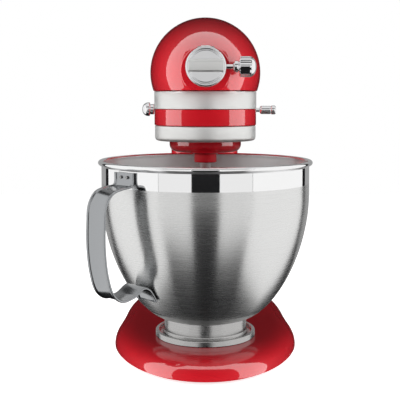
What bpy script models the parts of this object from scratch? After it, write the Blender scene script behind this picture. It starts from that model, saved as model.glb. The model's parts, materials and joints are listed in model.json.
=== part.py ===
"""Tilt-head stand mixer: stand, tilting head with its gear train, bowl and beater.

Metres, +Z up, -Y is the front. The origin is on the floor under the middle of the
machine, on its plane of symmetry.
"""
import math

import bmesh
import bpy
from mathutils import Matrix, Vector

# ---------------------------------------------------------------- driving dimensions
GAP = 0.0003                      # clearance between pieces that touch
BOWL_Y = -0.0675                  # bowl and planetary axis

# stand
FOOT_H = 0.0052
BASE_LOW = 0.003
BASE_TOP = 0.0222
BASE_MID_Y = BOWL_Y + 0.0748
BASE_HALF_L = 0.1718
BASE_HALF_W = 0.1014
BASE_EDGE = 0.030                 # how far in the rounded edge reaches
BASE_WALL = 0.003
PLATE_R = 0.0516
PLATE_FLOOR = 0.0255
PLATE_TOP = 0.0282
POST_TOP = 0.2395
POST_MID_Y = BOWL_Y + 0.158
POST_HALF_W = 0.041

# tilting head
HEAD_Z = 0.2947
HEAD_R = 0.0570
HEAD_WALL = 0.003
NOSE_Y = BOWL_Y - 0.080
NOSE_LENGTH = 0.0845
HEAD_END_Y = BOWL_Y + 0.2045
TAIL_Y = BOWL_Y + 0.2465
BAND_TOP = 0.2755
BAND_LOW = 0.2572
CASE_LOW = 0.2402
CASE_R = 0.0530
CASE_WALL = 0.0054
BAND_DEPTH = 0.0024
RING_LOW = 0.2243
RING_R = 0.0525
HINGE_Y = BOWL_Y + 0.172
HINGE_Z = 0.218
HINGE_R = 0.004
TONGUE_HALF_W = 0.015

# attachment hub
HUB_Z = 0.298
HUB_R = 0.0193
HUB_BORE_R = 0.0125
HUB_FRONT_Y = BOWL_Y - 0.0925
SCREW_Y = BOWL_Y - 0.0868
COVER_AXIS = (0.0, BOWL_Y - 0.0910, HUB_Z + 0.0183)

# levers
LEVER_Z = 0.255
SPEED_Y = BOWL_Y + 0.065
SPEED_TRAVEL = 0.036
LOCK_Y = BOWL_Y + 0.130

# planetary and gear train
DISC_R = 0.0373
DISC_TOP = 0.2305
DISC_LOW = 0.2145
BOSS_R = 0.01155
BOSS_LOW = 0.2034
ORBIT_R = 0.028
SHAFT_R = 0.0055
RING_TEETH = 48
PLANET_TEETH = 16
RING_MODULE = 0.00175
CENTER_TEETH = 52
PINION_TEETH = 16
SPUR_MODULE = 0.001
WHEEL_TEETH = 32
WHEEL_R = 0.015
WORM_R = 0.005
WORM_Z = 0.300
WHEEL_X = WHEEL_R + WORM_R
AXES_APART = SPUR_MODULE * (CENTER_TEETH + PINION_TEETH) / 2
WHEEL_Y = BOWL_Y + math.sqrt(AXES_APART ** 2 - WHEEL_X ** 2)
BEVEL_TEETH = 12
BEVEL_R = 0.014
SPUR_Z = (0.2600, 0.2660)

# bowl, handle and beater
BOWL_R = 0.1077
BOWL_WALL = 0.0012
RIM_R = 0.1115
RIM_Z = 0.2018
BEAD_R = 0.0025
BELLY_TOP = 0.168
BOWL_LOW = 0.042
BOWL_FOOT_R = 0.0425
HANDLE_TURN = math.radians(45.5)  # from the front, towards -X
HANDLE_W = 0.028
HANDLE_T = 0.0022
BEATER_T = 0.008
BEATER_LOW = 0.0535

BIG = 40                          # sides of large, middle and small round pieces
MID = 24
SMALL = 16

PARTS = "stand_mixer"
CUTTERS = "cutters"


# ---------------------------------------------------------------- scene and materials
def clear_scene():
    for old in list(bpy.data.objects):
        bpy.data.objects.remove(old, do_unlink=True)


def collection(name):
    found = bpy.data.collections.get(name)
    if found is None:
        found = bpy.data.collections.new(name)
        bpy.context.scene.collection.children.link(found)
    return found


def material(name, color, roughness, metallic):
    mat = bpy.data.materials.get(name)
    if mat is None:
        mat = bpy.data.materials.new(name)
        mat.use_nodes = True
        shader = mat.node_tree.nodes["Principled BSDF"]
        shader.inputs["Base Color"].default_value = (*color, 1.0)
        shader.inputs["Roughness"].default_value = roughness
        shader.inputs["Metallic"].default_value = metallic
    return mat


def enamel():
    return material("red_enamel", (0.50, 0.008, 0.018), 0.18, 0.0)


def bright_trim():
    return material("satin_trim", (0.76, 0.76, 0.74), 0.28, 1.0)


def chrome():
    return material("chrome", (0.85, 0.85, 0.86), 0.06, 1.0)


def steel():
    return material("bowl_steel", (0.62, 0.61, 0.60), 0.25, 1.0)


def gear_steel():
    return material("gear_steel", (0.42, 0.41, 0.40), 0.35, 1.0)


def bronze():
    return material("bearing_bronze", (0.55, 0.34, 0.14), 0.35, 1.0)


def iron():
    return material("lamination_steel", (0.18, 0.18, 0.19), 0.5, 1.0)


def copper():
    return material("copper", (0.72, 0.33, 0.18), 0.3, 1.0)


def black_plastic():
    return material("black_plastic", (0.02, 0.02, 0.02), 0.45, 0.0)


def rubber():
    return material("rubber", (0.03, 0.03, 0.03), 0.8, 0.0)


def beater_coat():
    return material("beater_aluminium", (0.66, 0.66, 0.65), 0.4, 1.0)


# ---------------------------------------------------------------- shape helpers
AXIS_TURN = {
    "Z": (0.0, 0.0, 0.0),
    "X": (0.0, math.pi / 2, 0.0),
    "Y": (-math.pi / 2, 0.0, 0.0),
}


def add(name, mesh, mat, at=(0, 0, 0), turn=(0, 0, 0), cutter=False):
    """Put a mesh into the scene as a part, or as a hidden cutter."""
    obj = bpy.data.objects.new(name, mesh)
    obj.location = at
    obj.rotation_euler = turn
    if cutter:
        obj.hide_render = True
        obj.display_type = "WIRE"
        collection(CUTTERS).objects.link(obj)
    else:
        mesh.materials.append(mat)
        collection(PARTS).objects.link(obj)
    return obj


def smooth(mesh, angle=35):
    mesh.shade_smooth()
    mesh.set_sharp_from_angle(angle=math.radians(angle))


def turned(name, profile, mat, at, axis="Z", steps=MID, loop=False, cutter=False):
    """Turn a profile of (radius, height) points, listed down its outer side."""
    mesh = bpy.data.meshes.new(name)
    verts = [(radius, 0.0, height) for radius, height in profile]
    edges = [(i, i + 1) for i in range(len(verts) - 1)]
    if loop:
        edges.append((len(verts) - 1, 0))
    mesh.from_pydata(verts, edges, [])
    obj = add(name, mesh, mat, at, AXIS_TURN[axis], cutter)
    screw = obj.modifiers.new("turn", "SCREW")
    screw.axis = "Z"
    screw.steps = steps
    screw.render_steps = steps
    screw.use_merge_vertices = True
    screw.merge_threshold = 0.00001
    screw.use_smooth_shade = True
    return obj


def rod(name, radius, start, length, mat, at, axis, steps=SMALL, cutter=False):
    """A plain round bar along an axis, from start to start + length."""
    profile = [(0, start + length), (radius, start + length), (radius, start), (0, start)]
    return turned(name, profile, mat, at, axis, steps, cutter=cutter)


def sleeve(name, inner, outer, start, length, mat, at, axis, steps=MID):
    """A round bush: inner and outer radius, from start to start + length."""
    end = start + length
    profile = [(inner, end), (outer, end), (outer, start), (inner, start)]
    return turned(name, profile, mat, at, axis, steps, loop=True)


def block(name, low, high, mat=None, cutter=False):
    """A box between two corners."""
    mesh = bpy.data.meshes.new(name)
    bm = bmesh.new()
    size = [b - a for a, b in zip(low, high)]
    bmesh.ops.create_cube(bm, size=1.0, matrix=Matrix.Diagonal((*size, 1.0)))
    bm.to_mesh(mesh)
    bm.free()
    middle = [(a + b) / 2 for a, b in zip(low, high)]
    return add(name, mesh, mat, middle, cutter=cutter)


def loft(name, rings, mat, at=(0, 0, 0), turn=(0, 0, 0), cutter=False):
    """Join rings of equally many points, listed from the low end up, and cap the ends."""
    mesh = bpy.data.meshes.new(name)
    bm = bmesh.new()
    rows = [[bm.verts.new(point) for point in ring] for ring in rings]
    count = len(rows[0])
    for low, high in zip(rows, rows[1:]):
        for i in range(count):
            j = (i + 1) % count
            bm.faces.new((low[i], low[j], high[j], high[i]))
    bm.faces.new(rows[0][::-1])
    bm.faces.new(rows[-1])
    bm.to_mesh(mesh)
    bm.free()
    smooth(mesh)
    return add(name, mesh, mat, at, turn, cutter)


def plate(name, outlines, thickness, mat, at=(0, 0, 0), turn=(0, 0, 0), cutter=False):
    """Extrude a flat outline, with any holes after it, to a plate about its own plane."""
    curve = bpy.data.curves.new(name, "CURVE")
    curve.dimensions = "2D"
    curve.fill_mode = "BOTH"
    curve.extrude = thickness / 2
    for outline in outlines:
        spline = curve.splines.new("POLY")
        spline.points.add(len(outline) - 1)
        for point, (x, y) in zip(spline.points, outline):
            point.co = (x, y, 0.0, 1.0)
        spline.use_cyclic_u = True
    guide = bpy.data.objects.new(name + "_outline", curve)
    bpy.context.scene.collection.objects.link(guide)
    graph = bpy.context.evaluated_depsgraph_get()
    mesh = bpy.data.meshes.new_from_object(guide.evaluated_get(graph))
    bpy.data.objects.remove(guide)
    bm = bmesh.new()
    bm.from_mesh(mesh)
    bmesh.ops.remove_doubles(bm, verts=bm.verts, dist=0.000005)
    bm.to_mesh(mesh)
    bm.free()
    mesh.name = name
    return add(name, mesh, mat, at, turn, cutter)


def boolean(obj, other, operation):
    step = obj.modifiers.new(other.name, "BOOLEAN")
    step.operation = operation
    step.solver = "EXACT"
    step.object = other


def cut(obj, *others):
    for other in others:
        boolean(obj, other, "DIFFERENCE")


def join(obj, *others):
    for other in others:
        boolean(obj, other, "UNION")


def circle(radius, count, center=(0.0, 0.0)):
    turns = [2 * math.pi * i / count for i in range(count)]
    return [(center[0] + radius * math.cos(a), center[1] + radius * math.sin(a)) for a in turns]


def arc(center, radius, start, end, count):
    """Points of an arc between two angles in degrees, both ends included."""
    steps = [math.radians(start + (end - start) * i / (count - 1)) for i in range(count)]
    return [(center[0] + radius * math.cos(a), center[1] + radius * math.sin(a)) for a in steps]


def mirrored(half):
    """Close a half outline, listed from bottom to top at +X, with its mirror image."""
    return half + [(-x, y) for x, y in reversed(half)]


def smooth_path(points, per_span):
    """Catmull-Rom curve through the given points."""
    path = []
    ends = [points[0]] + list(points) + [points[-1]]
    for a, b, c, d in zip(ends, ends[1:], ends[2:], ends[3:]):
        for i in range(per_span):
            t = i / per_span
            path.append(tuple(
                0.5 * (2 * q + (r - p) * t + (2 * p - 5 * q + 4 * r - s) * t * t
                       + (3 * q - p - 3 * r + s) * t ** 3)
                for p, q, r, s in zip(a, b, c, d)))
    return path + [tuple(points[-1])]


def pivot(name, at, parent=None):
    """An empty on a joint's axis. Parts hang on it and keep their world places."""
    empty = bpy.data.objects.new(name, None)
    empty.empty_display_size = 0.01
    empty.location = at
    collection(PARTS).objects.link(empty)
    if parent is not None:
        hang(parent, empty)
    return empty


def hang(parent, *children):
    bpy.context.view_layer.update()
    for child in children:
        child.parent = parent
        child.matrix_parent_inverse = parent.matrix_world.inverted()


# ---------------------------------------------------------------- outlines of the castings
def base_outline(inset, height, count=36):
    """Egg-shaped plan: an ellipse in front, a blunter curve behind that narrows a little."""
    ring = []
    length = BASE_HALF_L - inset
    width = BASE_HALF_W - inset
    for i in range(count):
        a = 2 * math.pi * i / count
        power = 2 / 3.2 if math.sin(a) > 0 else 2 / 2.05
        x = width * math.copysign(abs(math.cos(a)) ** power, math.cos(a))
        y = length * math.copysign(abs(math.sin(a)) ** power, math.sin(a))
        behind = min(max((BASE_MID_Y + y - BOWL_Y) / 0.12, 0.0), 1.0)
        narrowed = 1 - 0.075 * behind * behind * (3 - 2 * behind)
        ring.append((x * narrowed, BASE_MID_Y + y, height))
    return ring


def base_edge(steps, wall):
    """(inset, height) down the rounded edge of the base, for its outside or inside."""
    reach = BASE_EDGE
    rise = BASE_TOP - BASE_LOW - wall
    rows = []
    for i in range(steps + 1):
        a = math.pi / 2 * i / steps
        rows.append((wall + reach * (1 - math.cos(a) ** 0.8),
                     BASE_LOW + rise * math.sin(a) ** 0.8))
    return rows


def head_radius(y):
    """Radius of the motor housing at a place along its axis."""
    if y < BOWL_Y:
        t = (BOWL_Y - y) / NOSE_LENGTH
        return HEAD_R * (1 - t ** 2.3) ** (1 / 2.3)
    t = (y - BOWL_Y) / (HEAD_END_Y - BOWL_Y)
    return HEAD_R - 0.009 * t ** 1.8


def case_half_width(y):
    """Half width of the head at the trim band, behind the planetary axis."""
    return math.sqrt(head_radius(y) ** 2 - (HEAD_Z - BAND_TOP) ** 2) - 0.0007


def case_outline(inset):
    """Plan of the gear case: round in front, nearly straight sides, rounded back."""
    front = arc((0.0, BOWL_Y), CASE_R - inset, -90, 0, 9)
    corner = 0.014
    last = HEAD_END_Y - corner
    sides = [(case_half_width(BOWL_Y + y) - inset, BOWL_Y + y) for y in (0.035, 0.07, 0.105, 0.14)]
    wide = case_half_width(last) - inset
    round_r = corner - inset
    back = arc((wide - round_r, last), round_r, 0, 90, 4)
    half = front + sides + back
    return half + [(-x, y) for x, y in reversed(half[1:])]


def at_height(outline, z):
    return [(x, y, z) for x, y in outline]


# ---------------------------------------------------------------- the stand
FEET = {
    "foot_front": (0.0, BOWL_Y - 0.073),
    "foot_left": (-0.074, BOWL_Y + 0.030),
    "foot_right": (0.074, BOWL_Y + 0.030),
    "foot_rear_left": (-0.056, BOWL_Y + 0.205),
    "foot_rear_right": (0.056, BOWL_Y + 0.205),
}
FOOT_R = 0.0115


def make_base():
    """Hollow base casting, open underneath, with a boss above each foot."""
    inside = [base_outline(i, z) for i, z in reversed(base_edge(3, BASE_WALL))]
    outside = [base_outline(i, z) for i, z in base_edge(6, 0.0)]
    base = loft("base", inside + outside, enamel())
    for name, (x, y) in FEET.items():
        low = FOOT_H + GAP
        boss = rod(name + "_boss", 0.0085, low, BASE_TOP - 0.0024 - low, None, (x, y, 0), "Z",
                   cutter=True)
        join(base, boss)
    return base


def make_foot(name, x, y):
    profile = [(0, FOOT_H), (0.010, FOOT_H), (FOOT_R, 0.004), (FOOT_R, 0.0008), (0.0107, 0),
               (0, 0)]
    return turned(name, profile, rubber(), (x, y, 0), steps=12)


def make_clamp_plate():
    """Shallow dish screwed to the base, which holds the foot of the bowl."""
    profile = [(0, PLATE_FLOOR), (0.0472, PLATE_FLOOR), (0.0475, PLATE_TOP), (0.0505, PLATE_TOP),
               (PLATE_R, 0.0272), (PLATE_R, BASE_TOP + GAP), (0, BASE_TOP + GAP)]
    return turned("clamp_plate", profile, bright_trim(), (0, BOWL_Y, 0), steps=BIG)


def post_section(z, middle, half_l, half_w, power):
    ring = []
    for i in range(36):
        a = 2 * math.pi * i / 36
        x = half_w * math.copysign(abs(math.cos(a)) ** (2 / power), math.cos(a))
        y = half_l * math.copysign(abs(math.sin(a)) ** (2 / power), math.sin(a))
        ring.append((x, middle + y, z))
    return ring


def make_pedestal():
    """Column casting, hollow from below: flared foot, fork with the hinge bore on top."""
    low = BASE_TOP + GAP
    sections = [
        (low, -0.002, 0.064, 0.068, 2.2), (0.0265, -0.002, 0.0585, 0.061, 2.3),
        (0.034, -0.001, 0.0510, 0.0535, 2.5), (0.048, 0.0, 0.0440, 0.0475, 2.8),
        (0.075, 0.0, 0.0385, 0.0435, 3.2), (0.130, 0.0, 0.0362, POST_HALF_W, 3.6),
        (POST_TOP, 0.0, 0.0355, POST_HALF_W - 0.0006, 3.8),
    ]
    rings = [post_section(z, POST_MID_Y + shift, half_l, half_w, power)
             for z, shift, half_l, half_w, power in sections]
    post = loft("pedestal", rings, enamel())
    wall = 0.006
    hollow_rings = [post_section(z, POST_MID_Y, half_l, half_w, 3.0) for z, half_l, half_w in
                    ((low - 0.01, 0.0440, 0.0480), (0.050, 0.0370, 0.0400),
                     (0.180, 0.0355 - wall, POST_HALF_W - wall))]
    hollow = loft("post_hollow", hollow_rings, None, cutter=True)
    crown = POST_TOP - HINGE_Z
    rear = [(HINGE_Y, HINGE_Z + crown + 0.01), (HINGE_Y, HINGE_Z + crown)]
    rear += arc((HINGE_Y, HINGE_Z), crown, 80, 0, 6)
    rear += [(HINGE_Y + 0.05, HINGE_Z), (HINGE_Y + 0.05, HINGE_Z + crown + 0.01)]
    turn = (math.pi / 2, 0, math.pi / 2)
    rounding = plate("post_rounding", [rear], 0.12, None, turn=turn, cutter=True)
    slot = block("post_slot", (-TONGUE_HALF_W - GAP, BOWL_Y + 0.150, 0.195),
                 (TONGUE_HALF_W + GAP, BOWL_Y + 0.230, 0.260), cutter=True)
    bore = rod("hinge_bore", HINGE_R + GAP, -0.06, 0.12, None, (0, HINGE_Y, HINGE_Z), "X",
               cutter=True)
    notch = block("lock_notch", (-0.0185, LOCK_Y - 0.0060, 0.2340),
                  (-0.0112, LOCK_Y + 0.0160, 0.2500), cutter=True)
    screw_hole = rod("height_screw_hole", 0.0034, 0.2240, 0.03, None, (0, BOWL_Y + 0.136, 0), "Z",
                     cutter=True)
    cut(post, hollow, rounding, slot, bore, notch, screw_hole)
    return post


def make_stand():
    make_base()
    for name, (x, y) in FEET.items():
        make_foot(name, x, y)
    make_clamp_plate()
    make_pedestal()
    rod("hinge_pin", HINGE_R, -0.0398, 0.0796, gear_steel(), (0, HINGE_Y, HINGE_Z), "X", MID)
    profile = [(0, 0.2391), (0.0018, 0.2391), (0.0030, 0.2382), (0.0030, 0.2244), (0, 0.2244)]
    turned("height_screw", profile, gear_steel(), (0, BOWL_Y + 0.136, 0), steps=SMALL)


# ---------------------------------------------------------------- the bowl
def belly_radius(t):
    """Radius of the bowl at a share t of the way down its rounded lower part."""
    return BOWL_FOOT_R + (BOWL_R - BOWL_FOOT_R) * (1 - t ** 1.8) ** (1 / 1.6)


def make_bowl():
    """Drawn steel bowl with a rolled rim."""
    depth = BELLY_TOP - BOWL_LOW
    shares = (0.22, 0.42, 0.60, 0.75, 0.87, 0.95, 1.0)
    belly = [(belly_radius(t), BELLY_TOP - depth * t) for t in shares]
    lift = 0.0002
    belly[-1] = (BOWL_FOOT_R, BOWL_LOW)
    outer = [(BOWL_R, BELLY_TOP)] + belly + [(0, BOWL_LOW)]
    inner = [(0, BOWL_LOW + BOWL_WALL)]
    inner += [(radius - BOWL_WALL, height + BOWL_WALL * t ** 2 + lift)
              for (radius, height), t in zip(reversed(belly), reversed(shares))]
    inner += [(BOWL_R - BOWL_WALL, BELLY_TOP), (BOWL_R - BOWL_WALL, RIM_Z - BEAD_R)]
    bead = arc((RIM_R - BEAD_R, RIM_Z), BEAD_R, 200, -70, 6)
    neck = [(BOWL_R + 0.0002, RIM_Z - BEAD_R - 0.001)]
    return turned("bowl", inner + bead + neck + outer, steel(), (0, BOWL_Y, 0), steps=BIG)


def make_bowl_foot():
    """Turned ring under the bowl, rolled outwards where it stands in the clamp plate."""
    low = PLATE_FLOOR + GAP
    profile = [(0.0411, BOWL_LOW - GAP), (0.0425, BOWL_LOW - GAP), (0.0425, low + 0.003),
               (0.0440, low + 0.0012), (0.0440, low), (0.0411, low)]
    return turned("bowl_foot", profile, chrome(), (0, BOWL_Y, 0), steps=BIG, loop=True)


HANDLE_SHAPE = [                  # (distance from the bowl's axis, height)
    (0.1097, 0.1970), (0.1097, 0.1880), (0.1112, 0.1848), (0.1210, 0.1832), (0.1335, 0.1795),
    (0.1412, 0.1690),
    (0.1432, 0.1500), (0.1430, 0.1280), (0.1396, 0.1040), (0.1330, 0.0860), (0.1225, 0.0780),
    (0.1080, 0.0795), (0.0950, 0.0860), (0.0885, 0.0835), (0.0835, 0.0775), (0.0796, 0.0705),
]


def make_handle():
    """Flat strap bent to a handle: its top lies on the bowl, its end folds down on it."""
    path = smooth_path(HANDLE_SHAPE, 2)
    half = HANDLE_W / 2
    mesh = bpy.data.meshes.new("bowl_handle")
    bm = bmesh.new()
    rows = [[bm.verts.new((r, z, side)) for side in (-half, half)] for r, z in path]
    for a, b in zip(rows, rows[1:]):
        bm.faces.new((a[0], a[1], b[1], b[0]))
    bm.to_mesh(mesh)
    bm.free()
    turn = (math.pi / 2, 0, math.radians(270) - HANDLE_TURN)
    handle = add("bowl_handle", mesh, steel(), (0, BOWL_Y, 0), turn)
    wall = handle.modifiers.new("wall", "SOLIDIFY")
    wall.thickness = HANDLE_T
    wall.offset = 0
    wall.use_even_offset = True
    return handle


# ---------------------------------------------------------------- head castings and trim
def make_upper_housing():
    """Domed motor housing: open below and behind, with a solid nose bored for the hub."""
    places = (0.0, -0.025, -0.045, -0.060, -0.071, -0.077)
    outer = [(head_radius(BOWL_Y + y), BOWL_Y + y) for y in (0.2045, 0.150, 0.080) + places]
    outer += [(head_radius(NOSE_Y), NOSE_Y), (0, NOSE_Y)]
    inner = [(head_radius(BOWL_Y + y) - HEAD_WALL, BOWL_Y + y)
             for y in (-0.046, -0.020, 0.060, 0.2045)]
    profile = [(0, BOWL_Y - 0.046)] + inner + outer
    shell = turned("upper_housing", profile, enamel(), (0, 0, HEAD_Z), "Y", 32)
    under = BAND_TOP + GAP
    below = block("housing_below", (-0.08, NOSE_Y - 0.02, under - 0.07),
                  (0.08, HEAD_END_Y + 0.02, under), cutter=True)
    hub_bore = rod("housing_hub_bore", 0.0153, NOSE_Y - 0.01, 0.050, None, (0, 0, HUB_Z), "Y",
                   MID, cutter=True)
    brush_bore = rod("brush_bore", 0.0093, -0.08, 0.16, None, (0, BOWL_Y + 0.175, 0.300), "X",
                     cutter=True)
    cut(shell, below, hub_bore, brush_bore)
    return shell


def lever_cutters():
    slot = block("speed_slot", (0.030, SPEED_Y - 0.0029, LEVER_Z - 0.0029),
                 (0.080, SPEED_Y + SPEED_TRAVEL + 0.0029, LEVER_Z + 0.0029), cutter=True)
    bore = rod("lock_bore", 0.0033, -0.080, 0.050, None, (0, LOCK_Y, LEVER_Z), "X", cutter=True)
    return slot, bore


def make_gear_case(slot, bore):
    """Lower head casting: tub with a recessed collar for the band, and the hinge tongue."""
    floor = CASE_LOW + 0.0038
    top = BAND_TOP - GAP
    step = BAND_LOW - GAP
    rings = [
        at_height(case_outline(CASE_WALL), floor),
        at_height(case_outline(CASE_WALL), top),
        at_height(case_outline(BAND_DEPTH), top),
        at_height(case_outline(BAND_DEPTH), step),
        at_height(case_outline(0.0), step),
        at_height(case_outline(0.0), CASE_LOW + 0.001),
        at_height(case_outline(0.001), CASE_LOW),
    ]
    case = loft("gear_case", [ring[::-1] for ring in rings], enamel())
    tongue_outline = arc((HINGE_Y, HINGE_Z), 0.016, 180, 360, 9)
    tongue_outline += [(HINGE_Y + 0.018, CASE_LOW + 0.002), (HINGE_Y - 0.017, CASE_LOW + 0.002)]
    turn = (math.pi / 2, 0, math.pi / 2)
    tongue = plate("hinge_tongue", [tongue_outline], 2 * TONGUE_HALF_W, None, turn=turn,
                   cutter=True)
    join(case, tongue)
    hinge = rod("tongue_bore", HINGE_R + GAP, -0.05, 0.10, None, (0, HINGE_Y, HINGE_Z), "X",
                cutter=True)
    shaft = rod("case_shaft_bore", 0.0093, CASE_LOW - 0.01, 0.02, None, (0, BOWL_Y, 0), "Z",
                cutter=True)
    cam = block("cam_slot", (-0.0185, LOCK_Y - 0.0045, CASE_LOW - 0.01),
                (-0.0112, LOCK_Y + 0.0165, CASE_LOW + 0.01), cutter=True)
    cut(case, hinge, shaft, cam, slot, bore)
    return case


def make_trim_band(slot, bore):
    """Polished strip let into the head between its two castings."""
    middle = (BAND_TOP + BAND_LOW) / 2
    outlines = [case_outline(-0.0003), case_outline(BAND_DEPTH - GAP)]
    band = plate("trim_band", outlines, BAND_TOP - BAND_LOW, bright_trim(), (0, 0, middle))
    cut(band, slot, bore)
    return band


def make_drip_ring():
    """Shallow pan round the planetary, which hides the ring gear."""
    edge = 0.0035
    profile = [(0.0495, CASE_LOW - GAP), (RING_R, CASE_LOW - GAP)]
    profile += arc((RING_R - edge, RING_LOW + edge), edge, 0, -90, 4)
    profile += [(DISC_R + 0.0019, RING_LOW), (DISC_R + 0.0019, RING_LOW + 0.0015),
                (0.0480, RING_LOW + 0.0015), (0.0495, RING_LOW + 0.0032)]
    return turned("drip_ring", profile, bright_trim(), (0, BOWL_Y, 0), steps=BIG, loop=True)


def tail_radius(t):
    return (HEAD_R - 0.009) * (1 - t ** 2.2) ** (1 / 2.2)


def make_rear_cover():
    """Domed end cap of the motor, with holes for its screw and for the cord inlet."""
    start = HEAD_END_Y + 2 * GAP
    reach = TAIL_Y - start
    outer = [(tail_radius(t), start + reach * t) for t in (0.97, 0.87, 0.70, 0.42, 0.0)]
    inner = [(tail_radius(t) - 0.0028, start + (reach - 0.003) * t)
             for t in (0.0, 0.42, 0.70, 0.86)]
    profile = [(0, TAIL_Y)] + outer + inner + [(0, TAIL_Y - 0.003)]
    cover = turned("rear_cover", profile, enamel(), (0, 0, HEAD_Z), "Y", 28)
    screw = rod("rear_screw_hole", 0.0043, TAIL_Y - 0.02, 0.03, None, (0, 0, HEAD_Z), "Y",
                cutter=True)
    inlet = rod("inlet_hole", 0.0068, BOWL_Y + 0.215, 0.05, None, (0, 0, 0.260), "Y",
                cutter=True)
    cut(cover, screw, inlet)
    return cover


def make_head_trim():
    """Small fixed pieces on the outside of the head."""
    profile = [(0, TAIL_Y - 0.0004), (0.0034, TAIL_Y - 0.0004), (0.0040, TAIL_Y - 0.0012),
               (0.0040, TAIL_Y - 0.0100), (0, TAIL_Y - 0.0100)]
    turned("rear_cover_screw", profile, chrome(), (0, 0, HEAD_Z), "Y", SMALL)
    tail = BOWL_Y + 0.2380
    profile = [(0.0036, tail + 0.0060), (0.0052, tail + 0.0060), (0.0065, tail),
               (0.0065, BOWL_Y + 0.2220), (0.0036, BOWL_Y + 0.2220)]
    turned("cord_inlet", profile, rubber(), (0, 0, 0.260), "Y", SMALL, loop=True)
    cap = [(0, 0.0522), (0.0080, 0.0522), (0.0090, 0.0512), (0.0090, 0.0462), (0, 0.0462)]
    at = (0, BOWL_Y + 0.175, 0.300)
    turned("brush_cap_right", cap, black_plastic(), at, "X", SMALL)
    left = turned("brush_cap_left", cap, black_plastic(), at, "X", SMALL)
    left.rotation_euler = (0, -math.pi / 2, 0)


def make_hub_socket():
    """Socket for attachments: flange, spigot in the nose, and cross bore for its screw."""
    flange_back = NOSE_Y - GAP
    profile = [(0.0048, BOWL_Y - 0.060), (0.0150, BOWL_Y - 0.060), (0.0150, flange_back),
               (HUB_R, flange_back), (HUB_R, HUB_FRONT_Y), (HUB_BORE_R, HUB_FRONT_Y),
               (HUB_BORE_R, BOWL_Y - 0.067), (0.0048, BOWL_Y - 0.067)]
    socket = turned("hub_socket", profile, bright_trim(), (0, 0, HUB_Z), "Y", 32, loop=True)
    screw_bore = rod("hub_screw_bore", 0.0027, 0.008, 0.02, None, (0, SCREW_Y, HUB_Z), "X",
                     cutter=True)
    _, axis_y, axis_z = COVER_AXIS
    notch = block("hub_cover_notch", (-0.0046, HUB_FRONT_Y - 0.002, axis_z - 0.0023),
                  (0.0046, axis_y + 0.0022, axis_z + 0.006), cutter=True)
    pin_bore = rod("hub_pin_bore", 0.0010, -0.0082, 0.0164, None, COVER_AXIS, "X", cutter=True)
    cut(socket, screw_bore, notch, pin_bore)
    return socket


def make_hub_cover():
    """Round flap over the hub socket, with a grip bar and a hinge barrel behind its top."""
    face = HUB_FRONT_Y - GAP
    profile = [(0, face), (0.0190, face), (0.0190, face - 0.0026), (0.0182, face - 0.0032),
               (0, face - 0.0032)]
    cover = turned("hub_cover", profile[::-1], bright_trim(), (0, 0, HUB_Z), "Y", 32)
    flip(cover)
    bar = block("hub_grip", (-0.0166, face - 0.0058, HUB_Z - 0.0052),
                (0.0166, face - 0.0020, HUB_Z + 0.0070), cutter=True)
    _, axis_y, axis_z = COVER_AXIS
    barrel = rod("hub_barrel", 0.0015, -0.0042, 0.0084, None, COVER_AXIS, "X", cutter=True)
    web = block("hub_web", (-0.0042, face - 0.0010, axis_z - 0.0015),
                (0.0042, axis_y - 0.0004, axis_z + 0.0010), cutter=True)
    bore = rod("hub_barrel_bore", 0.0010, -0.01, 0.02, None, COVER_AXIS, "X", 12, cutter=True)
    join(cover, bar, web, barrel)
    cut(cover, bore)
    return cover


def flip(obj):
    """Keep a turned shape whose profile was listed against the axis facing outwards."""
    for modifier in obj.modifiers:
        if modifier.type == "SCREW":
            modifier.use_normal_flip = True


# ---------------------------------------------------------------- levers and thumb screw
def make_speed_control():
    block("speed_slider", (0.0360, SPEED_Y - 0.007, LEVER_Z - 0.006),
          (0.0437, SPEED_Y + 0.007, LEVER_Z + 0.006), black_plastic())
    at = (0, SPEED_Y, LEVER_Z)
    rod("speed_lever", 0.0023, 0.0440, 0.0172, chrome(), at, "X")
    profile = [(0, 0.0794), (0.0042, 0.0794), (0.0050, 0.0784), (0.0050, 0.0742), (0.0046, 0.0738),
               (0.0046, 0.0628), (0.0036, 0.0615), (0, 0.0615)]
    turned("speed_knob", profile, chrome(), at, "X", 20)


def make_lock():
    """Lock shaft with its knob outside and its cam inside, at the unlocked position."""
    at = (0, LOCK_Y, LEVER_Z)
    rod("lock_shaft", 0.0030, -0.0600, 0.0420, gear_steel(), at, "X")
    profile = [(0, 0.0748)] + arc((0, 0.0666), 0.0082, 70, 0, 5)[0:5]
    profile += [(0.0078, 0.0652), (0.0062, 0.0645), (0.0062, 0.0603), (0, 0.0603)]
    knob = turned("lock_knob", profile, chrome(), at, "X", 20)
    knob.rotation_euler = (0, -math.pi / 2, 0)
    outline = arc((0, 0), 0.0042, 270, 90, 5) + [(0.0165, 0.0030), (0.0165, -0.0030)]
    turn = (math.pi / 2, 0, math.pi / 2)
    plate("lock_cam", [outline], 0.0056, gear_steel(), (-0.0149, LOCK_Y, LEVER_Z), turn)


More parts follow.
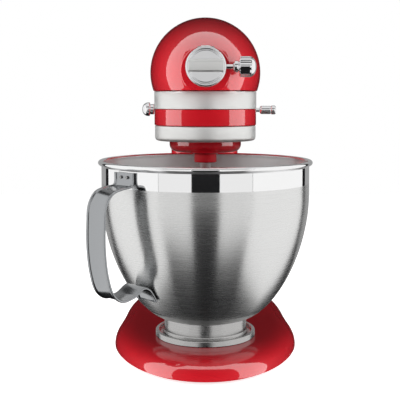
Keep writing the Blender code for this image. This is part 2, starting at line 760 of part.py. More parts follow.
def make_attachment_knob():
    """Thumb screw that clamps an attachment in the hub: stem, and a fluted, domed head."""
    at = (0, SCREW_Y, HUB_Z)
    rod("attachment_screw", 0.0023, 0.0135, 0.0122, chrome(), at, "X")
    count = 16
    rings = []
    shape = [(0.0260, 0.0036, 0.0), (0.0272, 0.0055, 0.0), (0.0298, 0.0055, 0.0),
             (0.0312, 0.0050, 0.0), (0.0314, 0.0092, 0.0006), (0.0322, 0.0099, 0.0008),
             (0.0400, 0.0099, 0.0008), (0.0440, 0.0082, 0.0005), (0.0470, 0.0046, 0.0),
             (0.0479, 0.0018, 0.0)]
    for x, radius, flute in shape:
        ring = []
        for i in range(count):
            a = 2 * math.pi * i / count
            r = radius - (flute if i % 2 else 0.0)
            ring.append((r * math.cos(a), r * math.sin(a), x))
        rings.append(ring)
    loft("attachment_knob", rings, chrome(), at, AXIS_TURN["X"])


# ---------------------------------------------------------------- gears
PRESSURE = math.radians(20)
SLIM = 0.75                       # share of the full tooth thickness, the rest is backlash


def involute(angle):
    return math.tan(angle) - angle


def half_tooth(radius, pitch_r, teeth, share):
    """Half the angle that a tooth spans at a radius."""
    base = pitch_r * math.cos(PRESSURE)
    here = math.acos(min(1.0, base / max(radius, base)))
    return share * math.pi / (2 * teeth) + involute(PRESSURE) - involute(here)


def tooth_outline(teeth, module, addendum, dedendum, share, turn):
    """Outline of a spur gear, four points to a tooth. A tooth points along turn."""
    pitch_r = teeth * module / 2
    outline = []
    for tooth in range(teeth):
        middle = turn + 2 * math.pi * tooth / teeth
        for radius, side in ((pitch_r + dedendum, -1), (pitch_r + addendum, -1),
                             (pitch_r + addendum, 1), (pitch_r + dedendum, 1)):
            a = middle + side * half_tooth(radius, pitch_r, teeth, share)
            outline.append((radius * math.cos(a), radius * math.sin(a)))
    return outline


def spur_gear(name, teeth, module, bore, low, high, mat, at, turn=0.0):
    outline = tooth_outline(teeth, module, 0.8 * module, -1.2 * module, SLIM, turn)
    middle = (low + high) / 2
    return plate(name, [outline, circle(bore, SMALL)], high - low, mat, (at[0], at[1], middle))


def make_internal_ring_gear():
    """Fixed ring gear under the case floor. Its spaces are wide teeth cut into it."""
    spaces = tooth_outline(RING_TEETH, RING_MODULE, 1.1 * RING_MODULE, -0.8 * RING_MODULE,
                           2 - SLIM, 0.0)
    low, high = 0.2312, CASE_LOW - GAP
    return plate("internal_ring_gear", [circle(0.0475, 48), spaces], high - low, gear_steel(),
                 (0, BOWL_Y, (low + high) / 2))


def bevel_ring(offset, scale, turn):
    """Tooth outline on the back cone, drawn towards the apex by scale."""
    module = 2 * BEVEL_R / BEVEL_TEETH
    back_r = BEVEL_R * math.sqrt(2)
    back_teeth = BEVEL_TEETH * math.sqrt(2)
    rise = {-1: -1.1 * module, 1: 0.75 * module}
    ring = []
    for tooth in range(BEVEL_TEETH):
        middle = turn + 2 * math.pi * tooth / BEVEL_TEETH
        for level, side in ((-1, -1), (1, -1), (1, 1), (-1, 1)):
            out = rise[level]
            wide = half_tooth(back_r + out, back_r, back_teeth, SLIM) * (back_r + out)
            radius = BEVEL_R + out / math.sqrt(2)
            a = middle + side * wide / radius
            ring.append((scale * radius * math.cos(a), scale * radius * math.sin(a),
                         scale * (-BEVEL_R + out / math.sqrt(2)) + offset))
    return ring


def make_bevel(name, bore, mat, at, axis_turn, turn):
    """Straight bevel gear. Its apex is its origin and its back faces down its axis."""
    back = bevel_ring(0.0, 1.0, turn)
    front = bevel_ring(0.0, 0.62, turn)
    angles = [math.atan2(y, x) for x, y, _ in back]
    rear_z = -BEVEL_R - 0.0042
    rear = [(0.0115 * math.cos(a), 0.0115 * math.sin(a), rear_z) for a in angles]
    nose_z = -0.0108
    nose = [(0.0058 * math.cos(a), 0.0058 * math.sin(a), nose_z) for a in angles]
    gear = loft(name, [rear, back, front, nose], mat, at, axis_turn)
    hole = rod(name + "_bore", bore, -0.03, 0.03, None, at, "Z", cutter=True)
    hole.rotation_euler = axis_turn
    cut(gear, hole)
    return gear


def make_worm_wheel(turn):
    """Helical wheel beside the worm: each end's outline is turned by half the helix."""
    module = 2 * WHEEL_R / WHEEL_TEETH
    face = 0.006
    lead_angle = math.atan(WHEEL_R / (WHEEL_TEETH * WORM_R))
    twist = face / 2 * math.tan(lead_angle) / WHEEL_R
    rings = []
    for share in (-1, 1):
        outline = tooth_outline(WHEEL_TEETH, module, 0.7 * module, -1.05 * module, 0.7,
                                turn + share * twist)
        rings.append([(x, y, share * face / 2) for x, y in outline])
    at = (WHEEL_X, WHEEL_Y, WORM_Z)
    wheel = loft("worm_wheel", rings, bronze(), at)
    hole = rod("worm_wheel_bore", 0.0038, -0.01, 0.02, None, at, "Z", cutter=True)
    cut(wheel, hole)
    return wheel


def worm_thread():
    """Thread of the worm: a trapezoid carried round a helix and sunk into the shaft."""
    pitch = 2 * math.pi * WHEEL_R / WHEEL_TEETH
    root, crest = 0.0033, WORM_R + 0.00065
    shape = ((0.0, root), (0.50, root), (0.66, crest), (0.84, crest))
    turns = 8
    columns = 12
    start = -(turns // 2 + 0.25) * pitch
    profile = [(start + (k + share) * pitch, r) for k in range(turns) for share, r in shape]
    last = len(profile) - 1
    grid = []
    mesh = bpy.data.meshes.new("worm_thread")
    bm = bmesh.new()
    for column in range(columns):
        a = 2 * math.pi * column / columns
        here = []
        for k, (y, r) in enumerate(profile):
            sunk = root if k < 6 or k > last - 7 else r
            y += pitch * column / columns
            here.append(bm.verts.new((sunk * math.cos(a), sunk * math.sin(a), y)))
        grid.append(here)
    for here, there in zip(grid, grid[1:]):
        for k in range(last):
            bm.faces.new((here[k], there[k], there[k + 1], here[k + 1]))
    seam, first = grid[-1], grid[0]
    for k in range(last - len(shape)):
        bm.faces.new((seam[k], first[k + 4], first[k + 5], seam[k + 1]))
    close_end(bm, first[4::-1] + [column[0] for column in grid[1:]])
    close_end(bm, first[-1:] + [column[-1] for column in grid[1:]] + seam[last - 1:last - 5:-1])
    bmesh.ops.recalc_face_normals(bm, faces=bm.faces)
    bm.to_mesh(mesh)
    bm.free()
    return add("worm_thread", mesh, None, (0, WHEEL_Y, WORM_Z), AXIS_TURN["Y"], cutter=True)


def close_end(bm, loop):
    """Close an end of the thread with a fan to the point on the axis among its heights."""
    middle = sum(vert.co.z for vert in loop) / len(loop)
    tip = bm.verts.new((0, 0, middle))
    for a, b in zip(loop, loop[1:] + loop[:1]):
        bm.faces.new((a, b, tip))


# ---------------------------------------------------------------- drive train bodies
def make_planetary():
    """Centre shaft with its two gears, and the planetary disc with its offset boss."""
    at = (0, BOWL_Y, 0)
    edge = 0.008
    profile = [(0, DISC_TOP), (DISC_R, DISC_TOP)]
    profile += arc((DISC_R - edge, DISC_LOW + edge), edge, 0, -90, 4) + [(0, DISC_LOW)]
    disc = turned("planetary_disc", profile, enamel(), at, steps=BIG)
    place = (0, BOWL_Y - ORBIT_R, 0)
    boss_profile = [(0, DISC_LOW + 0.008), (BOSS_R, DISC_LOW + 0.008),
                    (BOSS_R, BOSS_LOW + 0.0025), (BOSS_R - 0.0022, BOSS_LOW), (0, BOSS_LOW)]
    boss = turned("disc_boss", boss_profile, None, place, steps=MID, cutter=True)
    join(disc, boss)
    well = rod("disc_shaft_well", 0.0053, 0.2180, 0.03, None, at, "Z", cutter=True)
    bore = rod("disc_boss_bore", SHAFT_R + GAP, 0.19, 0.06, None, place, "Z", cutter=True)
    cut(disc, well, bore)
    rod("center_shaft", 0.0050, 0.2183, 0.2860 - 0.2183, gear_steel(), at, "Z")
    toward = math.atan2(WHEEL_Y - BOWL_Y, WHEEL_X)
    gear = spur_gear("center_gear", CENTER_TEETH, SPUR_MODULE, 0.0053, *SPUR_Z, gear_steel(), at,
                     toward)
    bevel = make_bevel("center_bevel", 0.0053, gear_steel(), (0, BOWL_Y, HUB_Z), (0, 0, 0), 0.0)
    return disc, gear, bevel


def make_agitator():
    """Beater shaft in the boss, its pinion above the disc, its cross pin and the beater."""
    x, y = 0.0, BOWL_Y - ORBIT_R
    profile = [(0, 0.2396), (SHAFT_R, 0.2396), (SHAFT_R, 0.1788), (SHAFT_R - 0.001, 0.1776),
               (0, 0.1776)]
    shaft = turned("agitator_shaft", profile, chrome(), (x, y, 0), steps=SMALL)
    cross = rod("cross_pin_bore", 0.0017, -0.02, 0.04, None, (x, y, 0.186), "X", 12, cutter=True)
    cut(shaft, cross)
    rod("agitator_pin", 0.0014, -0.0100, 0.0200, gear_steel(), (x, y, 0.186), "X", 12)
    spur_gear("planet_pinion", PLANET_TEETH, RING_MODULE, SHAFT_R + GAP, 0.2316, 0.2393,
              gear_steel(), (x, y), 0.0)
    make_beater(x, y)


BEATER_EDGE = [(0.014, 0.0535), (0.027, 0.0565), (0.038, 0.0665), (0.048, 0.0830), (0.055, 0.1040),
               (0.0575, 0.1280), (0.054, 0.1470), (0.042, 0.1620), (0.022, 0.1710),
               (0.010, 0.1740)]
BEATER_WINDOWS = [
    [(0.005, 0.0620), (0.020, 0.0640), (0.031, 0.0730), (0.037, 0.0820), (0.005, 0.0880)],
    [(0.005, 0.0960), (0.042, 0.0905), (0.047, 0.1060), (0.049, 0.1190), (0.005, 0.1240)],
    [(0.005, 0.1320), (0.0495, 0.1270), (0.047, 0.1430), (0.037, 0.1540), (0.005, 0.1600)],
]


def make_beater(x, y):
    """Flat beater: a frame with bars, cast on a collar that the cross pin holds."""
    outlines = [mirrored(BEATER_EDGE)]
    for window in BEATER_WINDOWS:
        outlines.append(window)
        outlines.append([(-a, b) for a, b in window])
    frame = plate("flat_beater", outlines, BEATER_T, beater_coat(), (x, y, 0),
                  (math.pi / 2, 0, 0))
    collar_profile = [(0, 0.1955), (0.0085, 0.1955), (0.0100, 0.1935), (0.0100, 0.1730),
                      (0.0070, 0.1660), (0, 0.1660)]
    collar = turned("beater_collar", collar_profile, None, (x, y, 0), steps=20, cutter=True)
    join(frame, collar)
    bore = rod("beater_bore", SHAFT_R + GAP, 0.1773, 0.03, None, (x, y, 0), "Z", cutter=True)
    pin_slot = rod("beater_pin_slot", 0.0017, -0.02, 0.04, None, (x, y, 0.186), "X", 12,
                   cutter=True)
    cut(frame, bore, pin_slot)
    return frame


def make_worm_gear():
    """Upright countershaft: the worm wheel above, the pinion of the centre gear below."""
    at = (WHEEL_X, WHEEL_Y, 0)
    rod("worm_gear_shaft", 0.0035, 0.2450, 0.0590, gear_steel(), at, "Z")
    make_worm_wheel(math.pi)
    away = math.atan2(WHEEL_Y - BOWL_Y, WHEEL_X) + math.pi
    spur_gear("drive_pinion", PINION_TEETH, SPUR_MODULE, 0.0038, *SPUR_Z, gear_steel(), at,
              away + math.pi / PINION_TEETH)


def make_armature():
    """Motor shaft with the worm cut on its front end, core, commutator and fan."""
    at = (0, BOWL_Y, WORM_Z)
    shaft = rod("armature_shaft", 0.0040, 0.0105, 0.1885, gear_steel(), at, "Y", SMALL)
    join(shaft, worm_thread())
    profile = [(0.0043, 0.1400), (0.0200, 0.1400), (0.0228, 0.1360), (0.0228, 0.0880),
               (0.0200, 0.0840), (0.0043, 0.0840)]
    turned("armature_core", profile, copper(), at, "Y", MID, loop=True)
    sleeve("commutator", 0.0043, 0.0120, 0.1600, 0.0220, copper(), at, "Y", MID)
    fan = [(0.0043, 0.0660), (0.0120, 0.0660), (0.0300, 0.0640), (0.0300, 0.0620),
           (0.0120, 0.0580), (0.0043, 0.0580)]
    turned("cooling_fan", fan, black_plastic(), at, "Y", MID, loop=True)


def make_motor_frame():
    """Stator, the two brackets and the bearings that carry the rotating parts."""
    at = (0, BOWL_Y, WORM_Z)
    sleeve("motor_stator", 0.0238, 0.0385, 0.0860, 0.0540, iron(), at, "Y", 28)
    sleeve("motor_bracket", 0.0093, 0.0455, 0.0470, 0.0040, iron(), at, "Y", 28)
    sleeve("front_bearing", 0.0043, 0.0090, 0.0455, 0.0070, bronze(), at, "Y", SMALL)
    sleeve("rear_bracket", 0.0093, 0.0402, 0.1860, 0.0040, iron(), at, "Y", 28)
    sleeve("rear_bearing", 0.0043, 0.0090, 0.1845, 0.0070, bronze(), at, "Y", SMALL)
    sleeve("shaft_bushing", 0.0053, 0.0090, 0.2398, 0.0060, bronze(), (0, BOWL_Y, 0), "Z", SMALL)
    sleeve("worm_gear_bearing", 0.0038, 0.0075, 0.2443, 0.0140, bronze(),
           (WHEEL_X, WHEEL_Y, 0), "Z", SMALL)


def make_hub_drive():
    """Bevel gear and shaft that turn an attachment in the hub."""
    at = (0, BOWL_Y, HUB_Z)
    make_bevel("hub_bevel", 0.0048, gear_steel(), at, AXIS_TURN["Y"],
               math.pi / 2 + math.pi / BEVEL_TEETH)
    rod("hub_drive_shaft", 0.0045, -0.0660, 0.0560, gear_steel(), at, "Y")


# ---------------------------------------------------------------- assembly
PIVOT_OF = {
    "head_pivot": ("upper_housing", "gear_case", "trim_band", "drip_ring", "rear_cover",
                   "rear_cover_screw", "hub_socket", "hub_cover_pin", "internal_ring_gear",
                   "shaft_bushing", "worm_gear_bearing", "motor_stator", "motor_bracket",
                   "rear_bracket", "front_bearing", "rear_bearing", "brush_cap_left",
                   "brush_cap_right", "cord_inlet"),
    "lock_pivot": ("lock_shaft", "lock_knob", "lock_cam"),
    "speed_pivot": ("speed_slider", "speed_lever", "speed_knob"),
    "hub_cover_pivot": ("hub_cover",),
    "attachment_pivot": ("attachment_screw", "attachment_knob"),
    "planetary_pivot": ("center_shaft", "center_gear", "center_bevel", "planetary_disc"),
    "agitator_pivot": ("agitator_shaft", "planet_pinion", "agitator_pin", "flat_beater"),
    "worm_gear_pivot": ("worm_wheel", "worm_gear_shaft", "drive_pinion"),
    "armature_pivot": ("armature_shaft", "armature_core", "commutator", "cooling_fan"),
    "hub_drive_pivot": ("hub_bevel", "hub_drive_shaft"),
    "bowl_lift_pivot": ("bowl_foot",),
    "bowl_pivot": ("bowl", "bowl_handle"),
}


def assemble():
    """Hang every moving piece on an empty that stands on its joint's axis."""
    head = pivot("head_pivot", (0, HINGE_Y, HINGE_Z))
    planetary = pivot("planetary_pivot", (0, BOWL_Y, DISC_LOW), head)
    lift = pivot("bowl_lift_pivot", (0, BOWL_Y, PLATE_FLOOR))
    pivot("lock_pivot", (0, LOCK_Y, LEVER_Z), head)
    pivot("speed_pivot", (0, SPEED_Y, LEVER_Z), head)
    pivot("hub_cover_pivot", COVER_AXIS, head)
    pivot("attachment_pivot", (0, SCREW_Y, HUB_Z), head)
    pivot("agitator_pivot", (0, BOWL_Y - ORBIT_R, DISC_LOW), planetary)
    pivot("worm_gear_pivot", (WHEEL_X, WHEEL_Y, WORM_Z), head)
    pivot("armature_pivot", (0, BOWL_Y, WORM_Z), head)
    pivot("hub_drive_pivot", (0, BOWL_Y, HUB_Z), head)
    pivot("bowl_pivot", (0, BOWL_Y, BOWL_LOW), lift)
    for name, children in PIVOT_OF.items():
        hang(bpy.data.objects[name], *[bpy.data.objects[child] for child in children])


def main():
    clear_scene()
    make_stand()
    make_bowl_foot()
    make_bowl()
    make_handle()
    slot, bore = lever_cutters()
    make_upper_housing()
    make_gear_case(slot, bore)
    make_trim_band(slot, bore)
    make_drip_ring()
    make_rear_cover()
    make_head_trim()
    make_hub_socket()
    make_hub_cover()
    rod("hub_cover_pin", 0.0007, -0.0078, 0.0156, gear_steel(), COVER_AXIS, "X", 12)
    make_speed_control()
    make_lock()
    make_attachment_knob()
    make_internal_ring_gear()
    make_planetary()
    make_agitator()
    make_worm_gear()
    make_armature()
    make_motor_frame()
    make_hub_drive()
    assemble()


main()
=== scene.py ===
import math

import bmesh
import bpy
import numpy as np
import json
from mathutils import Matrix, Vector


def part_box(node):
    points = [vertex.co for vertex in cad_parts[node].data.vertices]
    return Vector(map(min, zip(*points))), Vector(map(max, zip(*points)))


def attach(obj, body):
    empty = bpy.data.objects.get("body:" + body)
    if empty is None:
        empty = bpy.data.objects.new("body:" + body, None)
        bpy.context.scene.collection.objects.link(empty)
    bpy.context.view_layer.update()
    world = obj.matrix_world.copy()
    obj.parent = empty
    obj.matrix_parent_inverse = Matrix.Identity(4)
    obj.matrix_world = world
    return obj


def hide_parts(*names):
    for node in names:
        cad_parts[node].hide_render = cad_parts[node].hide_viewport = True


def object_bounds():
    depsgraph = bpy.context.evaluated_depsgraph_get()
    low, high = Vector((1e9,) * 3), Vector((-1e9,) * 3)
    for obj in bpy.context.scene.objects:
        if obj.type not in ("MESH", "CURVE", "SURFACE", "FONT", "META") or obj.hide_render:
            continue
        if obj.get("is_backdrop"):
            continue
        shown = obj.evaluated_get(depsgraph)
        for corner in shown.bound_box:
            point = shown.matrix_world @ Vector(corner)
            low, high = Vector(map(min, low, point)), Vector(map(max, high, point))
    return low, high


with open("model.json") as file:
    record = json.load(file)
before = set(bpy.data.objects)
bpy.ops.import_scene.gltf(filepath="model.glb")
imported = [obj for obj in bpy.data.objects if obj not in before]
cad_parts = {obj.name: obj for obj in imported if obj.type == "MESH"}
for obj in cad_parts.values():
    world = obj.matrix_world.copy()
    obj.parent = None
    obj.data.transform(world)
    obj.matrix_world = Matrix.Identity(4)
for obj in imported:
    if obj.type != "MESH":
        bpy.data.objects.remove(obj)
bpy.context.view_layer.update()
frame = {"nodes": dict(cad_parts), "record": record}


# Base: an aluminium die casting, hollow below with a thick rim. Sprayed with a translucent
# red over a bright ground and a clear coat, so that it glows where the light is square on.
def joint(name):
    """A joint of the record, by its name."""
    return next(made for made in frame["record"]["behaviour"]["joints"] if made["name"] == name)


AXIS_Y = joint("planetary_spin")["pos_m"][1]
BASE_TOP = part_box("base")[1][2]
BASE_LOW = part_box("base")[0][2]
BASE_HALF_W = 0.1014
BASE_HALF_L = (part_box("base")[1][1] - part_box("base")[0][1]) / 2
BASE_MID_Y = (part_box("base")[1][1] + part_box("base")[0][1]) / 2
BASE_EDGE = 0.030


def linear(text):
    """An sRGB hex value as linear red, green, blue and an alpha of one."""
    values = np.array([int(text[i:i + 2], 16) for i in (1, 3, 5)]) / 255
    low = values <= 0.04045
    values = np.where(low, values / 12.92, ((values + 0.055) / 1.055) ** 2.4)
    return (*values.tolist(), 1.0)


def add_node(tree, kind, settings=None, **links):
    """Adds a node. A link is a socket or a value. Its key is an input's name with _ for a
    space, or _ and the input's number where names repeat."""
    made = tree.nodes.new(kind)
    for key, value in (settings or {}).items():
        setattr(made, key, value)
    for key, value in links.items():
        numbered = key[1:].isdigit()
        place = made.inputs[int(key[1:]) if numbered else key.replace("_", " ")]
        if isinstance(value, bpy.types.NodeSocket):
            tree.links.new(value, place)
        else:
            place.default_value = value
    return made


def new_finish(name, **shader_values):
    """A material with its tree, its shader and the Object coordinates of the piece."""
    finish = bpy.data.materials.new(name)
    finish.use_nodes = True
    tree = finish.node_tree
    shader = tree.nodes["Principled BSDF"]
    for key, value in shader_values.items():
        shader.inputs[key.replace("_", " ")].default_value = value
    place = add_node(tree, "ShaderNodeTexCoord").outputs["Object"]
    return finish, tree, shader, place


def weave(name, points, capped=True, soft=35):
    """Quads between neighbours of a grid of points whose columns wrap round. Points that
    coincide are merged, open ends are drawn together to their middle, and the faces are
    turned outwards."""
    if capped:
        first, last = (points[i].mean(axis=0) + 0 * points[i] for i in (0, -1))
        points = np.concatenate([first[None], points, last[None]])
    rows, columns = points.shape[:2]
    index = np.arange(rows * columns).reshape(rows, columns)
    along = np.roll(index, -1, axis=1)
    quads = np.stack([index[:-1], along[:-1], along[1:], index[1:]], axis=-1).reshape(-1, 4)
    mesh = bpy.data.meshes.new(name)
    mesh.from_pydata(points.reshape(-1, 3).tolist(), [], quads.tolist())
    tidy = bmesh.new()
    tidy.from_mesh(mesh)
    bmesh.ops.remove_doubles(tidy, verts=tidy.verts, dist=1e-6)
    bmesh.ops.dissolve_degenerate(tidy, edges=tidy.edges, dist=1e-7)
    bmesh.ops.recalc_face_normals(tidy, faces=tidy.faces)
    tidy.to_mesh(mesh)
    tidy.free()
    mesh.shade_smooth()
    mesh.set_sharp_from_angle(angle=math.radians(soft))
    return mesh


def put(name, mesh, finish, body, slot, *nodes):
    """Shows a mesh as a piece of the mixer, on its body, in place of those CAD nodes."""
    piece = bpy.data.objects.new(name, mesh)
    bpy.context.scene.collection.objects.link(piece)
    mesh.materials.clear()
    mesh.materials.append(finish)
    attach(piece, body)
    if nodes:
        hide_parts(*nodes)
    return piece


def power(wave, exponent):
    """A wave between -1 and 1 raised to a power with its sign kept."""
    return np.sign(wave) * np.abs(wave) ** exponent


def egg(inset, height, columns=160):
    """Plan of the base: |x/w|^n + |y/l|^n = 1, with n 2.05 in front and 3.2 behind, and x
    narrowed by 7.5 % in an s-curve over the 120 mm behind the bowl's axis."""
    a = np.linspace(0, 2 * np.pi, columns, endpoint=False)
    n = np.where(np.sin(a) > 0, 2 / 3.2, 2 / 2.05)
    x = (BASE_HALF_W - inset)[:, None] * power(np.cos(a), n)
    y = BASE_MID_Y + (BASE_HALF_L - inset)[:, None] * power(np.sin(a), n)
    behind = np.clip((y - AXIS_Y) / 0.12, 0, 1)
    x = x * (1 - 0.075 * behind ** 2 * (3 - 2 * behind))
    return np.stack([x, y, height[:, None] + 0 * x], axis=-1)


def enamel_finish():
    """Candy enamel: clear coat over red, faint orange peel, depth that darkens at a slant."""
    finish, tree, shader, place = new_finish(
        "candy_enamel", Roughness=0.5, Specular_IOR_Level=0.1, Coat_Weight=1.0,
        Coat_Roughness=0.03, Coat_IOR=1.5)
    flake = add_node(tree, "ShaderNodeTexNoise", Vector=place, Scale=2600.0, Detail=2.0)
    lean = add_node(tree, "ShaderNodeLayerWeight", Blend=0.35)
    depth = add_node(tree, "ShaderNodeMix", {"data_type": "RGBA"}, Factor=lean.outputs["Facing"],
                     _6=linear("#b00a19"), _7=linear("#780812"))
    speck = add_node(tree, "ShaderNodeMapRange", Value=flake.outputs["Fac"], From_Min=0.3,
                     From_Max=0.7, To_Min=0.90, To_Max=1.08)
    tint = add_node(tree, "ShaderNodeMix", {"data_type": "RGBA", "blend_type": "MULTIPLY"},
                    Factor=1.0, _6=depth.outputs[2], _7=speck.outputs[0])
    tree.links.new(tint.outputs[2], shader.inputs["Base Color"])
    peel = add_node(tree, "ShaderNodeTexNoise", Vector=place, Scale=420.0, Detail=1.0)
    bump = add_node(tree, "ShaderNodeBump", Strength=0.02, Distance=0.0004,
                    Height=peel.outputs["Fac"])
    tree.links.new(bump.outputs[0], shader.inputs["Coat Normal"])
    return finish


enamel = enamel_finish()
slope = np.linspace(0, np.pi / 2, 26)
outer_inset = BASE_EDGE * (1 - np.cos(slope) ** 0.8)
outer_height = BASE_LOW + (BASE_TOP - BASE_LOW) * np.sin(slope) ** 0.8
lip = np.array([0.0030, 0.0026, 0.0008, 0.0002])
lip_height = BASE_LOW + np.array([0.0004, 0.0, 0.0, 0.0003])
hollow = slope[::-2]
hollow_inset = 0.003 + BASE_EDGE * (1 - np.cos(hollow) ** 0.8)
hollow_height = BASE_LOW + 0.001 + (BASE_TOP - BASE_LOW - 0.004) * np.sin(hollow) ** 0.8
base_inset = np.concatenate([hollow_inset, lip, outer_inset[1:]])
base_height = np.concatenate([hollow_height, lip_height, outer_height[1:]])
# The bowl's brushed steel would turn pink from so near, so mirrors leave the base out.
put("base_casting", weave("base_casting", egg(base_inset, base_height)), enamel, "stand",
    "red_enamel", "base").visible_glossy = False


# Clamp plate: a turned steel dish, screwed to the base, with a rolled lip that the bowl's
# foot ring drops into. Satin from the lathe.
def rounded(corners, radii, steps=6):
    """A line through corners with each one eased by a parabola that starts a radius away."""
    corners = np.array(corners, float)
    before, here, after = corners[:-2], corners[1:-1], corners[2:]
    reach = np.minimum(np.array(radii)[:, None], 0.49 * np.minimum(
        np.linalg.norm(before - here, axis=1), np.linalg.norm(after - here, axis=1))[:, None])
    start = here + (before - here) / np.linalg.norm(before - here, axis=1)[:, None] * reach
    end = here + (after - here) / np.linalg.norm(after - here, axis=1)[:, None] * reach
    t = np.linspace(0, 1, steps)[None, :, None]
    eased = (1 - t) ** 2 * start[:, None] + 2 * t * (1 - t) * here[:, None] + t * t * end[:, None]
    return np.concatenate([corners[:1], eased.reshape(-1, 2), corners[-1:]])


def ring_line(corners, radii, steps=6):
    """A closed outline with every corner eased."""
    closed = rounded([corners[-1], *corners, corners[0]], radii, steps)[1:-1]
    return np.concatenate([closed, closed[:1]])


def turned(name, line, at, axis="z", columns=96):
    """A line of (radius, height) carried round an axis through a point."""
    line = np.array(line, float)
    a = np.linspace(0, 2 * np.pi, columns, endpoint=False)
    u, v = line[:, :1] * np.cos(a), line[:, :1] * np.sin(a)
    w = line[:, 1:] + 0 * u
    order = {"z": (u, v, w), "x": (w, u, v), "y": (v, w, u)}[axis]
    return weave(name, np.stack(order, axis=-1) + np.array(at), capped=False)


def satin_finish(name, color, rough, grain, stretch):
    """Metal rubbed in one direction: streaks of roughness and a fine bump along it."""
    finish, tree, shader, place = new_finish(name, Base_Color=linear(color), Metallic=1.0)
    lay = add_node(tree, "ShaderNodeMapping", Vector=place, Scale=stretch)
    streak = add_node(tree, "ShaderNodeTexNoise", Vector=lay.outputs[0], Scale=grain, Detail=4.0)
    gloss = add_node(tree, "ShaderNodeMapRange", Value=streak.outputs["Fac"], From_Min=0.3,
                     From_Max=0.7, To_Min=rough * 0.8, To_Max=rough * 1.25)
    tree.links.new(gloss.outputs[0], shader.inputs["Roughness"])
    bump = add_node(tree, "ShaderNodeBump", Strength=0.06, Distance=0.0002,
                    Height=streak.outputs["Fac"])
    tree.links.new(bump.outputs[0], shader.inputs["Normal"])
    return finish


# Rubbed lengthways by belt: lines about 0.5 mm apart, drawn coarser than they are.
# The lathe's lines on the dish and foot are as fine, drawn alike. Both blur what they mirror.
satin = satin_finish("belt_rubbed_zinc", "#eaeae8", 0.42, 90.0, (1.0, 1.0, 14.0))
turned_steel = satin_finish("turned_steel", "#b4b3b2", 0.26, 90.0, (1.0, 1.0, 14.0))
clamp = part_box("clamp_plate")
plate_low, plate_top, plate_r = clamp[0][2], clamp[1][2], clamp[1][0]
floor_z = plate_top - 0.0027
clamp_line = rounded([(0, floor_z), (0.0472, floor_z), (0.0476, plate_top), (plate_r, plate_top),
                      (plate_r, plate_low), (0, plate_low)],
                     [0.0008, 0.0008, 0.0014, 0.0003])
put("clamp_dish", turned("clamp_dish", clamp_line, (0, AXIS_Y, 0)), turned_steel, "stand",
    "satin_trim", "clamp_plate")


# Pedestal: the column of the stand, cast with a flared foot, bolted to the base from below.
# Its top is a fork for the head's tongue, with the hinge pin across it. Enamelled.
def eased_through(x, knots, values):
    """A smooth curve through values at knots: cubic pieces that share their slopes."""
    knots, values = np.array(knots), np.array(values)
    slopes = np.gradient(values, knots)
    i = np.clip(np.searchsorted(knots, x) - 1, 0, len(knots) - 2)
    span = knots[i + 1] - knots[i]
    t = (x - knots[i]) / span
    return ((2 * t ** 3 - 3 * t ** 2 + 1) * values[i]
            + (t ** 3 - 2 * t ** 2 + t) * span * slopes[i]
            + (3 * t ** 2 - 2 * t ** 3) * values[i + 1]
            + (t ** 3 - t ** 2) * span * slopes[i + 1])


def box_mesh(name, low, high):
    """The twelve edges of a cutter between two corners."""
    mesh = bpy.data.meshes.new(name)
    shape = bmesh.new()
    middle, size = (np.array(low) + high) / 2, np.array(high) - low
    bmesh.ops.create_cube(shape, size=1.0)
    bmesh.ops.scale(shape, vec=size.tolist(), verts=shape.verts)
    bmesh.ops.translate(shape, vec=middle.tolist(), verts=shape.verts)
    shape.to_mesh(mesh)
    shape.free()
    return mesh


def carved(mesh, *cutters):
    """The mesh with the cutters taken away from it."""
    work = bpy.data.objects.new("work", mesh)
    bpy.context.scene.collection.objects.link(work)
    tools = []
    for cutter in cutters:
        tool = bpy.data.objects.new("cutter", cutter)
        bpy.context.scene.collection.objects.link(tool)
        step = work.modifiers.new("cut", "BOOLEAN")
        step.object, step.operation, step.solver = tool, "DIFFERENCE", "EXACT"
        tools.append(tool)
    bpy.context.view_layer.update()
    graph = bpy.context.evaluated_depsgraph_get()
    result = bpy.data.meshes.new_from_object(work.evaluated_get(graph))
    result.name = mesh.name
    for thing in [work, *tools]:
        bpy.data.objects.remove(thing)
    result.shade_smooth()
    result.set_sharp_from_angle(angle=math.radians(35))
    return result


HINGE_Y, HINGE_Z = joint("head_tilt")["pos_m"][1:]
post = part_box("pedestal")
post_low, post_top = post[0][2], post[1][2]
crown = post_top - HINGE_Z
rise = np.concatenate([post_low + (0.085 - post_low) * np.linspace(0, 1, 34) ** 1.5,
                       np.linspace(0.10, post_top - 0.0012, 14)])
knots = [post_low, 0.0265, 0.034, 0.048, 0.075, 0.130, post_top]
half_l = eased_through(rise, knots, [0.064, 0.0585, 0.0510, 0.0440, 0.0385, 0.0362, 0.0355])
half_w = eased_through(rise, knots, [0.068, 0.0610, 0.0535, 0.0475, 0.0435, 0.0410, 0.0404])
blunt = eased_through(rise, knots, [2.2, 2.3, 2.5, 2.8, 3.2, 3.6, 3.8])
turn = np.linspace(0, 2 * np.pi, 120, endpoint=False)
shrink = np.concatenate([np.ones(len(rise)), [0.985], np.linspace(0.96, 0.05, 14)])
high = np.concatenate([rise, [post_top - 0.0004], np.full(14, post_top)])
last = np.concatenate([np.arange(len(rise)), np.full(15, len(rise) - 1)])
post_mid = HINGE_Y - 0.014
exponent = (2 / blunt[last])[:, None]
post_x = (shrink * half_w[last])[:, None] * power(np.cos(turn), exponent)
post_y = post_mid + (shrink * half_l[last])[:, None] * power(np.sin(turn), exponent)
over = np.clip(post_y - HINGE_Y, 0, crown * 0.9999)
post_z = np.minimum(high[:, None] + 0 * post_x, HINGE_Z + np.sqrt(crown ** 2 - over ** 2))
pedestal_mesh = weave("pedestal_casting", np.stack([post_x, post_y, post_z], axis=-1))
tongue_w = 0.0153
